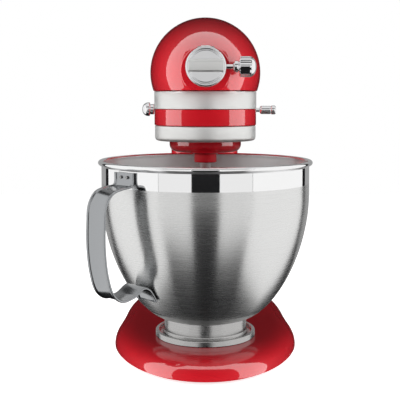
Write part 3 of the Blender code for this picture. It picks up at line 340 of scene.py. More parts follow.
fork = box_mesh("fork", (-tongue_w, HINGE_Y - 0.022, 0.195), (tongue_w, HINGE_Y + 0.06, 0.26))
pin_bore = turned("pin_bore", [(0, -0.06), (0.0043, -0.06), (0.0043, 0.06), (0, 0.06)],
                  (0, HINGE_Y, HINGE_Z), "x", 32)
lock_y = joint("lock_turn")["pos_m"][1]
cam_notch = box_mesh("cam_notch", (-0.0185, lock_y - 0.006, 0.234),
                     (-0.0112, lock_y + 0.016, 0.25))
put("pedestal_casting", carved(pedestal_mesh, fork, pin_bore, cam_notch), enamel, "stand",
    "red_enamel", "pedestal")


# Bowl foot: a pressed ring welded under the bowl and polished, rolled out at the bottom.
def polished_finish():
    """Chrome or buffed steel: a mirror with faint polishing haze."""
    finish, tree, shader, place = new_finish("buffed_chrome", Base_Color=linear("#eeeeef"),
                                             Metallic=1.0)
    haze = add_node(tree, "ShaderNodeTexNoise", Vector=place, Scale=60.0, Detail=3.0)
    gloss = add_node(tree, "ShaderNodeMapRange", Value=haze.outputs["Fac"], From_Min=0.3,
                     From_Max=0.7, To_Min=0.04, To_Max=0.10)
    tree.links.new(gloss.outputs[0], shader.inputs["Roughness"])
    return finish


polished = polished_finish()
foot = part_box("bowl_foot")
foot_low, foot_top = foot[0][2], foot[1][2]
foot_line = ring_line([(0.0411, foot_top), (0.0425, foot_top), (0.0425, foot_low + 0.0026),
                       (0.0440, foot_low + 0.0010), (0.0440, foot_low), (0.0411, foot_low)],
                      [0.0002, 0.0002, 0.0020, 0.0008, 0.0004, 0.0004])
put("bowl_foot_ring", turned("bowl_foot_ring", foot_line, (0, AXIS_Y, 0)), turned_steel,
    "bowl_seat", "chrome", "bowl_foot")


# Bowl: deep-drawn stainless steel 1.2 mm thick, spun against an abrasive so that fine lines
# run round it, with a buffed band under the rolled rim.
BOWL_R = 0.1077
BOWL_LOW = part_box("bowl")[0][2]
RIM_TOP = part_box("bowl")[1][2]
RIM_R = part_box("bowl")[1][0]
BELLY_TOP = 0.168
BEAD = 0.0025
BAND_LOW_Z = 0.1812


def bowl_line():
    """Outside: r = foot + (R - foot)(1 - t^1.8)^(1/1.6) over the depth, then a straight wall,
    a rolled bead, and the inside a wall's thickness within."""
    t = np.sin(np.linspace(0, np.pi / 2, 46))
    belly_r = 0.0425 + (BOWL_R - 0.0425) * (1 - t ** 1.8) ** (1 / 1.6)
    belly_z = BELLY_TOP - (BELLY_TOP - BOWL_LOW) * t
    out = np.stack([belly_r, belly_z], axis=-1)[::-1]
    straight = np.linspace([BOWL_R, BELLY_TOP + 0.004], [BOWL_R + 0.0002, RIM_TOP - 0.0060], 9)
    a = np.radians(np.linspace(-75, 200, 22))
    bead = np.stack([RIM_R - BEAD + BEAD * np.cos(a), RIM_TOP - BEAD + BEAD * np.sin(a)], axis=-1)
    inner = np.stack([belly_r - 0.0012, belly_z + 0.0012 * t ** 2 + 0.0002], axis=-1)
    return np.concatenate([[(0, BOWL_LOW)], out, straight, bead,
                           [(BOWL_R - 0.0012, RIM_TOP - 0.0052)], inner,
                           [(0, BOWL_LOW + 0.0012)]])


def bowl_finish():
    """Stainless steel: lines round the bowl about 0.6 mm apart, drawn coarser than they are,
    that draw light out into upright sweeps. Outside, a mirror band lies below the rim; inside,
    where the surface faces the bowl's axis, it is an even satin."""
    finish, tree, shader, place = new_finish("spun_stainless", Metallic=1.0)
    shader.inputs["Anisotropic"].default_value = 0.85
    shader.inputs["Anisotropic Rotation"].default_value = 0.25
    split = add_node(tree, "ShaderNodeSeparateXYZ", Vector=place)
    lay = add_node(tree, "ShaderNodeMapping", Vector=place, Scale=(1.0, 1.0, 60.0))
    fine = add_node(tree, "ShaderNodeTexNoise", Vector=lay.outputs[0], Scale=26.0, Detail=5.0,
                    Roughness=0.7)
    band = add_node(tree, "ShaderNodeMapRange", {"interpolation_type": "SMOOTHSTEP"},
                    Value=split.outputs["Z"], From_Min=BAND_LOW_Z - 0.0004,
                    From_Max=BAND_LOW_Z + 0.0004, To_Min=0.0, To_Max=1.0)
    gloss = add_node(tree, "ShaderNodeMapRange", Value=fine.outputs["Fac"], From_Min=0.3,
                     From_Max=0.7, To_Min=0.24, To_Max=0.30)
    turned_to = place.node.outputs["Normal"]
    spoke = add_node(tree, "ShaderNodeVectorMath", {"operation": "SUBTRACT"}, _0=place,
                     _1=(0.0, AXIS_Y, 0.0))
    facing = add_node(tree, "ShaderNodeVectorMath", {"operation": "DOT_PRODUCT"},
                      _0=spoke.outputs[0], _1=turned_to)
    inside = add_node(tree, "ShaderNodeMath", {"operation": "LESS_THAN"}, _0=facing.outputs[1],
                      _1=0.0)
    wall = add_node(tree, "ShaderNodeMix", Factor=band.outputs[0], _2=gloss.outputs[0], _3=0.05)
    rough = add_node(tree, "ShaderNodeMix", Factor=inside.outputs[0], _2=wall.outputs[0], _3=0.36)
    tree.links.new(rough.outputs[0], shader.inputs["Roughness"])
    shade = add_node(tree, "ShaderNodeMapRange", Value=fine.outputs["Fac"], From_Min=0.3,
                     From_Max=0.7, To_Min=0.92, To_Max=1.0)
    color = add_node(tree, "ShaderNodeMix", {"data_type": "RGBA", "blend_type": "MULTIPLY"},
                     Factor=1.0, _6=linear("#e2e2e1"), _7=shade.outputs[0])
    final = add_node(tree, "ShaderNodeMix", {"data_type": "RGBA"}, Factor=band.outputs[0],
                     _6=color.outputs[2], _7=linear("#f2f2f2"))
    tree.links.new(final.outputs[2], shader.inputs["Base Color"])
    about = add_node(tree, "ShaderNodeTangent", {"direction_type": "RADIAL", "axis": "Z"})
    tree.links.new(about.outputs[0], shader.inputs["Tangent"])
    bump = add_node(tree, "ShaderNodeBump", Strength=0.025, Distance=0.0002,
                    Height=fine.outputs["Fac"])
    tree.links.new(bump.outputs[0], shader.inputs["Normal"])
    return finish


steel = bowl_finish()
put("bowl_shell", turned("bowl_shell", bowl_line(), (0, AXIS_Y, 0), columns=180), steel,
    "bowl_shell", "bowl_steel", "bowl")


# Handle: a strip of stainless steel pressed to a shallow channel, bent to a loop, spot-welded
# under the rim, and folded back on itself against the bowl. Buffed edges, satin middle.
HANDLE_TURN = math.radians(45.5)
handle_path = np.array([
    (0.1097, 0.1970), (0.1097, 0.1880), (0.1112, 0.1848), (0.1210, 0.1832), (0.1335, 0.1795),
    (0.1412, 0.1690), (0.1432, 0.1500), (0.1430, 0.1280), (0.1396, 0.1040), (0.1330, 0.0860),
    (0.1225, 0.0780), (0.1080, 0.0795), (0.0950, 0.0860), (0.0885, 0.0835), (0.0835, 0.0775),
    (0.0796, 0.0705)])


def smooth_run(points, steps):
    """A smooth curve through points, timed by the distance between them."""
    gaps = np.linalg.norm(np.diff(points, axis=0), axis=1) ** 0.5
    knots = np.concatenate([[0], np.cumsum(gaps)])
    t = np.linspace(0, knots[-1], steps)
    return np.stack([eased_through(t, knots, points[:, i]) for i in (0, 1)], axis=-1)


def handle_points(section, run):
    """The section (across, out) carried along the run, square to it, in the handle's plane."""
    ahead = np.gradient(run, axis=0)
    ahead /= np.linalg.norm(ahead, axis=1)[:, None]
    out = np.stack([-ahead[:, 1], ahead[:, 0]], axis=-1)
    reach = run[:, None, 0] + out[:, None, 0] * section[None, :, 1]
    height = run[:, None, 1] + out[:, None, 1] * section[None, :, 1]
    across = section[None, :, 0] + 0 * reach
    dx, dy = -math.sin(HANDLE_TURN), -math.cos(HANDLE_TURN)
    return np.stack([dx * reach - dy * across, AXIS_Y + dy * reach + dx * across, height], axis=-1)


def handle_section(half, thick):
    """A flat strip whose two edges are rolled up to full thickness and rounded."""
    corners = [(-half, thick), (-half + 0.0026, thick), (-half + 0.0034, -0.0002),
               (half - 0.0034, -0.0002), (half - 0.0026, thick), (half, thick),
               (half, -thick), (-half, -thick)]
    return ring_line(corners, [0.0010, 0.0008, 0.0006, 0.0006, 0.0008, 0.0010, 0.0008, 0.0008],
                     4)[:-1]


handle_run = smooth_run(handle_path, 150)
strap = weave("handle_strap", handle_points(handle_section(0.014, 0.0011), handle_run))
# The strip is the bowl's own stainless steel, but its grey is set far darker than the bowl's:
# painted shade that makes the whole strip read mid grey.
handle_steel_painted_dark = satin_finish("buffed_strip", "#a2a4a6", 0.18, 60.0, (1.0, 1.0, 1.0))
put("handle_strap", strap, handle_steel_painted_dark, "bowl_shell", "bowl_steel", "bowl_handle")


def weld(name, across):
    """A spot weld under the rim: a shallow dish with a raised lip, facing outwards."""
    line = rounded([(0, 0.0002), (0.0006, 0.0003), (0.0010, 0.0008), (0.0014, 0.0008),
                    (0.0016, -0.0002), (0, -0.0002)], [0.0002, 0.0002, 0.0002, 0.0002], 4)
    mesh = turned(name, line, (0, 0, 0), "y", 24)
    spots = np.empty(len(mesh.vertices) * 3)
    mesh.vertices.foreach_get("co", spots)
    spots = spots.reshape(-1, 3)
    dx, dy = -math.sin(HANDLE_TURN), -math.cos(HANDLE_TURN)
    reach = 0.1107 + spots[:, 1] - 0.0006
    side = across + spots[:, 0]
    placed = np.stack([dx * reach - dy * side, AXIS_Y + dy * reach + dx * side,
                       0.1925 + spots[:, 2]], axis=-1)
    mesh.vertices.foreach_set("co", placed.ravel())
    shape = bmesh.new()
    shape.from_mesh(mesh)
    bmesh.ops.recalc_face_normals(shape, faces=shape.faces)
    shape.to_mesh(mesh)
    shape.free()
    return put(name, mesh, turned_steel, "bowl_shell", "bowl_steel")


weld("handle_weld_1", -0.0045)
weld("handle_weld_2", 0.0045)


# Motor housing: the upper casting of the head, a turned dome cut flat below, bored in the
# nose for the hub. It closes on the gear case with screws from below. Enamelled.
HEAD_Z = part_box("upper_housing")[1][2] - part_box("upper_housing")[1][0]
HEAD_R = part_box("upper_housing")[1][0]
NOSE_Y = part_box("upper_housing")[0][1]
HEAD_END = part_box("upper_housing")[1][1]
CUT = HEAD_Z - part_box("upper_housing")[0][2]
HUB_Z = joint("thumb_screw_turn")["pos_m"][2]


def head_radius(y):
    """Nose: R(1 - s^2.3)^(1/2.3) over 84.5 mm. Behind the bowl's axis it tapers by 9 mm."""
    nose = HEAD_R * (1 - np.clip((AXIS_Y - y) / 0.0845, 0, 1) ** 2.3) ** (1 / 2.3)
    body = HEAD_R - 0.009 * np.clip((y - AXIS_Y) / (HEAD_END - AXIS_Y), 0, 1) ** 1.8
    return np.where(y < AXIS_Y, nose, body)


def cut_circles(y, radius, cut, arc=110, flat_part=24):
    """Circles across the head, each cut off by a level line below its middle."""
    low = np.arcsin(np.clip(cut / radius, 0, 0.999))[:, None]
    t = np.linspace(0, 1, arc)
    a = -low + t * (np.pi + 2 * low)
    x, z = radius[:, None] * np.cos(a), radius[:, None] * np.sin(a)
    s = np.linspace(0, 1, flat_part + 2)[1:-1]
    half = radius[:, None] * np.cos(low)
    x = np.concatenate([x, -half + 2 * half * s], axis=1)
    z = np.concatenate([z, -cut + 0 * half * s], axis=1)
    return np.stack([x, y[:, None] + 0 * x, HEAD_Z + z], axis=-1)


nose_run = AXIS_Y - (AXIS_Y - NOSE_Y - 0.0008) * np.sin(np.linspace(0, np.pi / 2, 40)) ** 0.9
outer_y = np.concatenate([np.linspace(HEAD_END, AXIS_Y + 0.004, 30), nose_run])
outer_r = head_radius(outer_y)
lip_y = np.array([NOSE_Y + 0.0002, NOSE_Y])
lip_r = np.array([outer_r[-1] - 0.0005, outer_r[-1] - 0.0012])
inner_y = np.linspace(AXIS_Y - 0.045, HEAD_END, 24)
inner_r = head_radius(inner_y) - 0.003
sections = np.concatenate([
    cut_circles(inner_y, inner_r, CUT - 0.003),
    cut_circles(np.concatenate([outer_y, lip_y]), np.concatenate([outer_r, lip_r]), CUT)])
spoke = np.arctan2(sections[-1, :, 2] - HUB_Z, sections[-1, :, 0])
bore = np.stack([0.0153 * np.cos(spoke), 0 * spoke + NOSE_Y, HUB_Z + 0.0153 * np.sin(spoke)], -1)
deep = bore + np.array([0, 0.0285, 0])
housing = weave("motor_housing", np.concatenate([sections, bore[None], deep[None]]), soft=50)
opening = box_mesh("opening", (-0.041, AXIS_Y - 0.044, 0.27), (0.041, HEAD_END - 0.01, 0.2796))
put("motor_housing", carved(housing, opening), enamel, "head", "red_enamel", "upper_housing")


# Rear cover: a domed cap over the motor's end, held by one screw on the axis. Enamelled.
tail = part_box("rear_cover")
tail_y, cover_start = tail[1][1], tail[0][1]
s = np.sin(np.linspace(0, np.pi / 2, 40))[::-1]
dome_r = np.maximum((HEAD_R - 0.009) * (1 - s ** 2.2) ** (1 / 2.2), 0.0043)
dome_y = cover_start + (tail_y - cover_start) * s
inner_s = s[::3]
inside_r = np.maximum((HEAD_R - 0.0118) * (1 - inner_s ** 2.2) ** (1 / 2.2), 0.0)
inside_y = cover_start + (tail_y - cover_start - 0.0125) * inner_s
cover_line = np.concatenate([[(0, tail_y - 0.0103), (0.0043, tail_y - 0.0103)],
                             np.stack([dome_r, dome_y], -1),
                             np.stack([inside_r, inside_y], -1)[::-1]])
put("motor_end_cap", turned("motor_end_cap", cover_line, (0, 0, HEAD_Z), "y"), enamel, "head",
    "red_enamel", "rear_cover")


# Gear case: the lower casting of the head, a tub with a sunk collar for the trim band, and
# the hinge tongue below. Slots let the speed lever and the lock shaft through. Enamelled.
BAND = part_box("trim_band")
CASE_R = 0.0530
CASE_LOW = 0.2402


def half_width(y):
    """Half width of the head at the trim band: the housing's circle at the band's height."""
    return np.sqrt(head_radius(y) ** 2 - (HEAD_Z - BAND[1][2]) ** 2) - 0.0007


def head_plan(inset, height):
    """Plan of the lower head: a half circle in front, sides that follow the housing, and a
    rounded back, drawn in by an inset at a height."""
    inset = np.array(inset)[:, None]
    a = np.radians(np.linspace(-90, 0, 40))
    corner = 0.014
    back = HEAD_END - corner
    side_y = np.linspace(AXIS_Y + 0.004, back - 0.001, 40)
    b = np.radians(np.linspace(0, 90, 12))
    wide = half_width(np.array(back))
    x = np.concatenate([(CASE_R - inset) * np.cos(a), half_width(side_y) - inset,
                        wide - corner + (corner - inset) * np.cos(b)], axis=1)
    y = np.concatenate([AXIS_Y + (CASE_R - inset) * np.sin(a), side_y + 0 * inset,
                        back + (corner - inset) * np.sin(b)], axis=1)
    x = np.concatenate([x, -x[:, ::-1]], axis=1)
    y = np.concatenate([y, y[:, ::-1]], axis=1)
    return np.stack([x, y, np.array(height)[:, None] + 0 * x], axis=-1)


step_z, rim_z = BAND[0][2] - 0.0003, BAND[1][2] - 0.0003
case_rows = rounded([(0.0054, CASE_LOW + 0.0038), (0.0054, rim_z), (0.0024, rim_z),
                     (0.0024, step_z), (0.0, step_z), (0.0, CASE_LOW), (0.004, CASE_LOW)],
                    [0.0006, 0.0003, 0.0002, 0.0006, 0.0012], 5)
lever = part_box("speed_lever")
lever_mid = (lever[0][1] + lever[1][1]) / 2
lever_z = (lever[0][2] + lever[1][2]) / 2
travel = joint("speed_slide")["range_m"][1]


def lever_slots():
    """Cutters for the speed lever's slot and the lock shaft's hole."""
    slot = box_mesh("lever_slot", (0.030, lever_mid - 0.0029, lever_z - 0.0029),
                    (0.080, lever_mid + travel + 0.0029, lever_z + 0.0029))
    hole = turned("lock_hole", [(0, -0.08), (0.0034, -0.08), (0.0034, -0.03), (0, -0.03)],
                  (0, lock_y, lever_z), "x", 24)
    return slot, hole


cam_slot = box_mesh("cam_slot", (-0.0185, lock_y - 0.0045, 0.23),
                    (-0.0112, lock_y + 0.0165, 0.25))
shaft_bore = turned("shaft_bore", [(0, 0.23), (0.0093, 0.23), (0.0093, 0.25), (0, 0.25)],
                    (0, AXIS_Y, 0), "z", 40)
tub = weave("gear_case_casting", head_plan(case_rows[:, 0], case_rows[:, 1]))
put("gear_case_casting", carved(tub, *lever_slots(), cam_slot, shaft_bore), enamel, "head",
    "red_enamel", "gear_case")


def prism(name, outline, low, high, bevel):
    """An outline in (y, z) carried across from low x to high x, its ends eased."""
    edge = np.array([(0.0, bevel), (bevel * 0.3, bevel * 0.3), (bevel, 0.0)])
    middle = outline.mean(axis=0)
    furthest = np.linalg.norm(outline - middle, axis=1).max()

    def drawn_in(distance):
        return middle + (outline - middle) * (1 - distance / furthest)

    rows = [(low + b, a) for a, b in edge[::-1]] + [(high - b, a) for a, b in edge]
    grid = [np.concatenate([np.full((len(outline), 1), x), drawn_in(d)], axis=1)
            for x, d in rows]
    return weave(name, np.stack(grid))


a = np.radians(np.linspace(180, 360, 40))
tongue_line = np.stack([HINGE_Y + 0.016 * np.cos(a), HINGE_Z + 0.016 * np.sin(a)], -1)
tongue_line = np.concatenate([tongue_line, [(HINGE_Y + 0.018, 0.2425), (HINGE_Y - 0.017, 0.2425)]])
tongue = prism("hinge_tongue", tongue_line, -0.015, 0.015, 0.0012)
put("hinge_tongue", tongue, enamel, "head", "red_enamel")


# Trim band: a zinc strip let into the head between its castings, belt-rubbed, with its upper
# and lower edges polished.
band_rows = ring_line([(-0.0003, BAND[0][2]), (-0.0003, BAND[1][2]), (0.0021, BAND[1][2]),
                       (0.0021, BAND[0][2])], [0.0007, 0.0007, 0.0003, 0.0003], 5)
band_mesh = weave("trim_band_strip", head_plan(band_rows[:, 0], band_rows[:, 1]), capped=False)
put("trim_band_strip", carved(band_mesh, *lever_slots()), satin, "head", "satin_trim",
    "trim_band")


# Drip ring: a pressed steel pan round the planetary that keeps grease out of the bowl, held
# by the ring gear above it. Satin face, bright edge.
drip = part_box("drip_ring")
ring_low, ring_top, ring_r = drip[0][2], drip[1][2], drip[1][0]
drip_line = ring_line([(0.0495, ring_top), (ring_r, ring_top), (ring_r, ring_low),
                       (0.0392, ring_low), (0.0392, ring_low + 0.0015),
                       (0.0495, ring_low + 0.0015)],
                      [0.0003, 0.0009, 0.0042, 0.0004, 0.0004, 0.0020], 8)
put("drip_pan", turned("drip_pan", drip_line, (0, AXIS_Y, 0)), satin, "head", "satin_trim",
    "drip_ring")


# Planetary: the red disc under the head that carries the beater's shaft round in its boss.
# Die-cast and enamelled. The shaft is ground and chromed steel.
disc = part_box("planetary_disc")
DISC_R = 0.0373
disc_low, disc_top = 0.2128, disc[1][2]
disc_line = rounded([(0, disc_top), (DISC_R, disc_top), (DISC_R, disc_low), (0, disc_low)],
                    [0.0006, 0.0085], 12)
put("planetary_casting", turned("planetary_casting", disc_line, (0, AXIS_Y, 0)), enamel,
    "planetary", "red_enamel", "planetary_disc")
orbit = AXIS_Y - joint("agitator_spin")["pos_m"][1]
boss_low = disc[0][2]
boss_line = rounded([(0.0058, disc_low + 0.006), (0.0150, disc_low + 0.0006),
                     (0.01155, disc_low - 0.0006), (0.01155, boss_low), (0.0058, boss_low),
                     (0.0058, disc_low + 0.006)], [0.0006, 0.0022, 0.0016, 0.0003], 6)
put("planetary_boss", turned("planetary_boss", boss_line, (0, AXIS_Y - orbit, 0), columns=64),
    enamel, "planetary", "red_enamel")
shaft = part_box("agitator_shaft")
shaft_line = rounded([(0, shaft[1][2]), (0.0055, shaft[1][2]), (0.0055, shaft[0][2] + 0.0012),
                      (0.0043, shaft[0][2]), (0, shaft[0][2])], [0.0004, 0.0008, 0.0006], 5)
put("beater_shaft", turned("beater_shaft", shaft_line, (0, AXIS_Y - orbit, 0), columns=48),
    polished, "agitator", "chrome", "agitator_shaft")


# Beater: a flat frame with bars, cast in aluminium and burnished, with a collar that slides
# up the shaft and locks on its cross pin.
def casting_finish():
    """Burnished aluminium: soft mottling from tumbling, grey and half dull."""
    finish, tree, shader, place = new_finish("burnished_aluminium", Metallic=1.0)
    cloud = add_node(tree, "ShaderNodeTexNoise", Vector=place, Scale=160.0, Detail=4.0)
    color = add_node(tree, "ShaderNodeMix", {"data_type": "RGBA"}, Factor=cloud.outputs["Fac"],
                     _6=linear("#b9bab8"), _7=linear("#dadad8"))
    tree.links.new(color.outputs[2], shader.inputs["Base Color"])
    gloss = add_node(tree, "ShaderNodeMapRange", Value=cloud.outputs["Fac"], From_Min=0.3,
                     From_Max=0.7, To_Min=0.30, To_Max=0.45)
    tree.links.new(gloss.outputs[0], shader.inputs["Roughness"])
    bump = add_node(tree, "ShaderNodeBump", Strength=0.15, Distance=0.0002,
                    Height=cloud.outputs["Fac"])
    tree.links.new(bump.outputs[0], shader.inputs["Normal"])
    return finish


burnished = casting_finish()
beater_edge = [(0.0, 0.0535), (0.014, 0.0535), (0.027, 0.0565), (0.038, 0.0665), (0.048, 0.0830),
               (0.055, 0.1040), (0.0575, 0.1280), (0.054, 0.1470), (0.042, 0.1620),
               (0.022, 0.1710), (0.008, 0.1740), (0.0, 0.1745)]
beater_gaps = [
    [(0.005, 0.0620), (0.020, 0.0640), (0.031, 0.0730), (0.037, 0.0820), (0.005, 0.0880)],
    [(0.005, 0.0960), (0.042, 0.0905), (0.047, 0.1060), (0.049, 0.1190), (0.005, 0.1240)],
    [(0.005, 0.1320), (0.0495, 0.1270), (0.047, 0.1430), (0.037, 0.1540), (0.005, 0.1600)],
]


def beater_mesh(depth, edge):
    """Outline and gaps filled flat, thickened to the depth, with rounded edges."""
    curve = bpy.data.curves.new("beater_outline", "CURVE")
    curve.dimensions, curve.fill_mode = "2D", "BOTH"
    curve.extrude, curve.bevel_depth, curve.bevel_resolution = depth / 2 - edge, edge, 2
    curve.offset = -edge
    right = smooth_run(np.array(beater_edge), 70)
    loops = [np.concatenate([right, (right * (-1, 1))[-2:0:-1]])]
    for gap in beater_gaps:
        line = ring_line(gap, [0.004] * len(gap), 6)[:-1]
        loops += [line, line * (-1, 1)]
    for loop in loops:
        spline = curve.splines.new("POLY")
        spline.points.add(len(loop) - 1)
        spline.points.foreach_set("co", np.pad(loop, ((0, 0), (0, 2))).ravel().tolist())
        spline.use_cyclic_u = True
    guide = bpy.data.objects.new("beater_outline", curve)
    bpy.context.scene.collection.objects.link(guide)
    bpy.context.view_layer.update()
    graph = bpy.context.evaluated_depsgraph_get()
    mesh = bpy.data.meshes.new_from_object(guide.evaluated_get(graph))
    bpy.data.objects.remove(guide)
    spots = np.empty(len(mesh.vertices) * 3)
    mesh.vertices.foreach_get("co", spots)
    spots = spots.reshape(-1, 3)
    placed = np.stack([spots[:, 0], AXIS_Y - orbit - spots[:, 2], spots[:, 1]], axis=-1)
    mesh.vertices.foreach_set("co", placed.ravel())
    shape = bmesh.new()
    shape.from_mesh(mesh)
    bmesh.ops.remove_doubles(shape, verts=shape.verts, dist=1e-6)
    bmesh.ops.recalc_face_normals(shape, faces=shape.faces)
    shape.to_mesh(mesh)
    shape.free()
    mesh.shade_smooth()
    mesh.set_sharp_from_angle(angle=math.radians(40))
    return mesh


put("beater_frame", beater_mesh(0.008, 0.0022), burnished, "agitator", "beater_aluminium",
    "flat_beater")
collar_line = rounded([(0.0058, 0.1955), (0.0085, 0.1955), (0.0100, 0.1930), (0.0100, 0.1745),
                       (0.0060, 0.1650), (0, 0.1640), (0, 0.1773), (0.0058, 0.1773),
                       (0.0058, 0.1955)],
                      [0.0006, 0.0012, 0.0040, 0.0020, 0.0001, 0.0001, 0.0002], 6)
put("beater_collar", turned("beater_collar", collar_line, (0, AXIS_Y - orbit, 0), columns=48),
    burnished, "agitator", "beater_aluminium")


# Attachment hub: a turned socket pressed into the nose, with a hinged round cover. The cover
# is a polished disc with a raised lip and a grip bar across it.
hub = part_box("hub_socket")
hub_front, hub_back, hub_r = hub[0][1], hub[1][1], hub[1][0]
hub_line = ring_line([(0.0048, hub_back), (0.0150, hub_back), (0.0150, NOSE_Y - 0.0003),
                      (hub_r, NOSE_Y - 0.0003), (hub_r, hub_front), (0.0125, hub_front),
                      (0.0125, hub_back - 0.007), (0.0048, hub_back - 0.007)],
                     [0.0004, 0.0004, 0.0002, 0.0004, 0.0010, 0.0006, 0.0004, 0.0004], 5)
flap_axis = joint("hub_flap_hinge")["pos_m"]
flap_notch = box_mesh("flap_notch", (-0.0046, hub_front - 0.002, flap_axis[2] - 0.0023),
                      (0.0046, flap_axis[1] + 0.0022, flap_axis[2] + 0.006))
socket = turned("hub_socket_ring", hub_line, (0, 0, HUB_Z), "y")
put("hub_socket_ring", carved(socket, flap_notch), satin, "head", "satin_trim", "hub_socket")
face = hub_front - 0.0003
flap_line = rounded([(0, face), (0.0190, face), (0.0190, face - 0.0036), (0.0166, face - 0.0036),
                     (0.0162, face - 0.0024), (0.0152, face - 0.0024), (0.0148, face - 0.0031),
                     (0, face - 0.0031)],
                    [0.0003, 0.0012, 0.0010, 0.0003, 0.0003, 0.0003], 6)
put("hub_flap_disc", turned("hub_flap_disc", flap_line, (0, 0, HUB_Z), "y"), polished, "hub_flap",
    "satin_trim", "hub_cover")
bar_line = ring_line([(face - 0.0022, HUB_Z + 0.0070), (face - 0.0042, HUB_Z + 0.0070),
                      (face - 0.0058, HUB_Z + 0.0044), (face - 0.0058, HUB_Z - 0.0040),
                      (face - 0.0046, HUB_Z - 0.0052), (face - 0.0022, HUB_Z - 0.0052)],
                     [0.0004, 0.0006, 0.0005, 0.0005, 0.0005, 0.0004], 4)[:-1]
put("hub_flap_grip", prism("hub_flap_grip", bar_line, -0.0166, 0.0166, 0.0009), satin, "hub_flap",
    "satin_trim")
barrel_line = rounded([(0, -0.0042), (0.0015, -0.0042), (0.0015, 0.0042), (0, 0.0042)],
                      [0.0002, 0.0002], 3)
put("hub_flap_barrel", turned("hub_flap_barrel", barrel_line, flap_axis, "x", 24), satin,
    "hub_flap", "satin_trim")


# Thumb screw: a chromed brass knob with eight flutes, pressed on a steel screw. Its screw goes
# through the hub's wall from the right and clamps an attachment's shank.
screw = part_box("attachment_screw")
screw_y = (screw[0][1] + screw[1][1]) / 2
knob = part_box("attachment_knob")


def fluted(name, line, at, lobes, columns=128):
    """A turned line whose radius rises and falls round it: r(1 - d(1 - cos(n a))/2), where
    the depth d is the line's third number."""
    line = np.array(line)
    a = np.linspace(0, 2 * np.pi, columns, endpoint=False)
    r = line[:, :1] * (1 - line[:, 2:] * (1 - np.cos(lobes * a)) / 2)
    points = np.stack([line[:, 1:2] + 0 * r, r * np.cos(a), r * np.sin(a)], axis=-1)
    return weave(name, points + np.array(at), capped=False)


t = np.linspace(0, np.pi / 2, 16)
start_x, end_x = knob[0][0], knob[1][0]
dome = np.stack([0.0099 * np.cos(t), 0.0410 + (end_x - 0.0410) * np.sin(t),
                 0.08 * np.cos(t) ** 2], -1)
neck = [(0, start_x, 0), (0.0040, start_x, 0), (0.0055, start_x + 0.0012, 0),
        (0.0057, start_x + 0.0030, 0), (0.0055, start_x + 0.0044, 0),
        (0.0048, start_x + 0.0052, 0),
        (0.0060, start_x + 0.0054, 0.01), (0.0088, start_x + 0.0056, 0.05),
        (0.0097, start_x + 0.0064, 0.07), (0.0099, start_x + 0.0076, 0.08)]
put("thumb_screw_knob", fluted("thumb_screw_knob", np.concatenate([neck, dome]),
                               (0, screw_y, HUB_Z), 8),
    polished, "thumb_screw", "chrome", "attachment_knob")


# Speed lever: a turned brass grip, chromed, screwed on a steel stem. The stem slides in its
# slot on the right of the head and carries the slider inside the gear case.
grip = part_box("speed_knob")
g0, g1 = grip[0][0], grip[1][0]
grip_line = rounded([(0, g0), (0.0032, g0), (0.0046, g0 + 0.0014), (0.0046, g0 + 0.0118),
                     (0.0041, g0 + 0.0122), (0.0041, g0 + 0.0128), (0.0050, g0 + 0.0132),
                     (0.0050, g1), (0, g1)],
                    [0.0006, 0.0008, 0.0003, 0.0002, 0.0002, 0.0004, 0.0016], 5)
put("speed_grip", turned("speed_grip", grip_line, (0, lever_mid, lever_z), "x", 64), polished,
    "speed_control", "chrome", "speed_knob")


# Lock knob: a domed brass button, chromed, pinned to the lock shaft on the left of the head.
# Turning it turns the cam, which holds the head down on the pedestal.
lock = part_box("lock_knob")
k0, k1 = lock[1][0], lock[0][0]
lock_line = rounded([(0, k0), (0.0062, k0), (0.0062, k0 - 0.0040), (0.0056, k0 - 0.0046),
                     (0.0082, k0 - 0.0054), (0.0082, k0 - 0.0094), (0.0052, k1 + 0.0008),
                     (0, k1)],
                    [0.0010, 0.0008, 0.0004, 0.0008, 0.0030, 0.0030], 6)
put("lock_button", turned("lock_button", lock_line, (0, lock_y, lever_z), "x", 64), polished,
    "lock", "chrome", "lock_knob")


# What stays as it was made: pins, screws, feet, glands, the motor and its gears, each with
# the finish of its own trade.
def machined_finish(name, color, rough, grain):
    """Cut metal: faint tool marks and a little oil haze."""
    finish, tree, shader, place = new_finish(name, Base_Color=linear(color), Metallic=1.0)
    marks = add_node(tree, "ShaderNodeTexNoise", Vector=place, Scale=grain, Detail=5.0)
    gloss = add_node(tree, "ShaderNodeMapRange", Value=marks.outputs["Fac"], From_Min=0.3,
                     From_Max=0.7, To_Min=rough * 0.7, To_Max=rough * 1.4)
    tree.links.new(gloss.outputs[0], shader.inputs["Roughness"])
    bump = add_node(tree, "ShaderNodeBump", Strength=0.1, Distance=0.0001,
                    Height=marks.outputs["Fac"])
    tree.links.new(bump.outputs[0], shader.inputs["Normal"])
    return finish


def moulded_finish(name, color, rough, grain, strength):
    """Moulded rubber or plastic: a spark-eroded texture from the mould."""
    finish, tree, shader, place = new_finish(name, Base_Color=linear(color), Roughness=rough)
    skin = add_node(tree, "ShaderNodeTexNoise", Vector=place, Scale=grain, Detail=3.0)
    bump = add_node(tree, "ShaderNodeBump", Strength=strength, Distance=0.0003,
                    Height=skin.outputs["Fac"])
    tree.links.new(bump.outputs[0], shader.inputs["Normal"])
    return finish


def stacked_finish():
    """Pressed laminations 0.5 mm thick: dark varnish with a line at each sheet's edge."""
    finish, tree, shader, place = new_finish("varnished_laminations", Roughness=0.45,
                                             Metallic=0.6)
    sheets = add_node(tree, "ShaderNodeTexWave", {"bands_direction": "Y"}, Vector=place,
                      Scale=314.0, Distortion=0.0)
    color = add_node(tree, "ShaderNodeMix", {"data_type": "RGBA"}, Factor=sheets.outputs["Fac"],
                     _6=linear("#2a2a2c"), _7=linear("#5a5a5e"))
    tree.links.new(color.outputs[2], shader.inputs["Base Color"])
    return finish


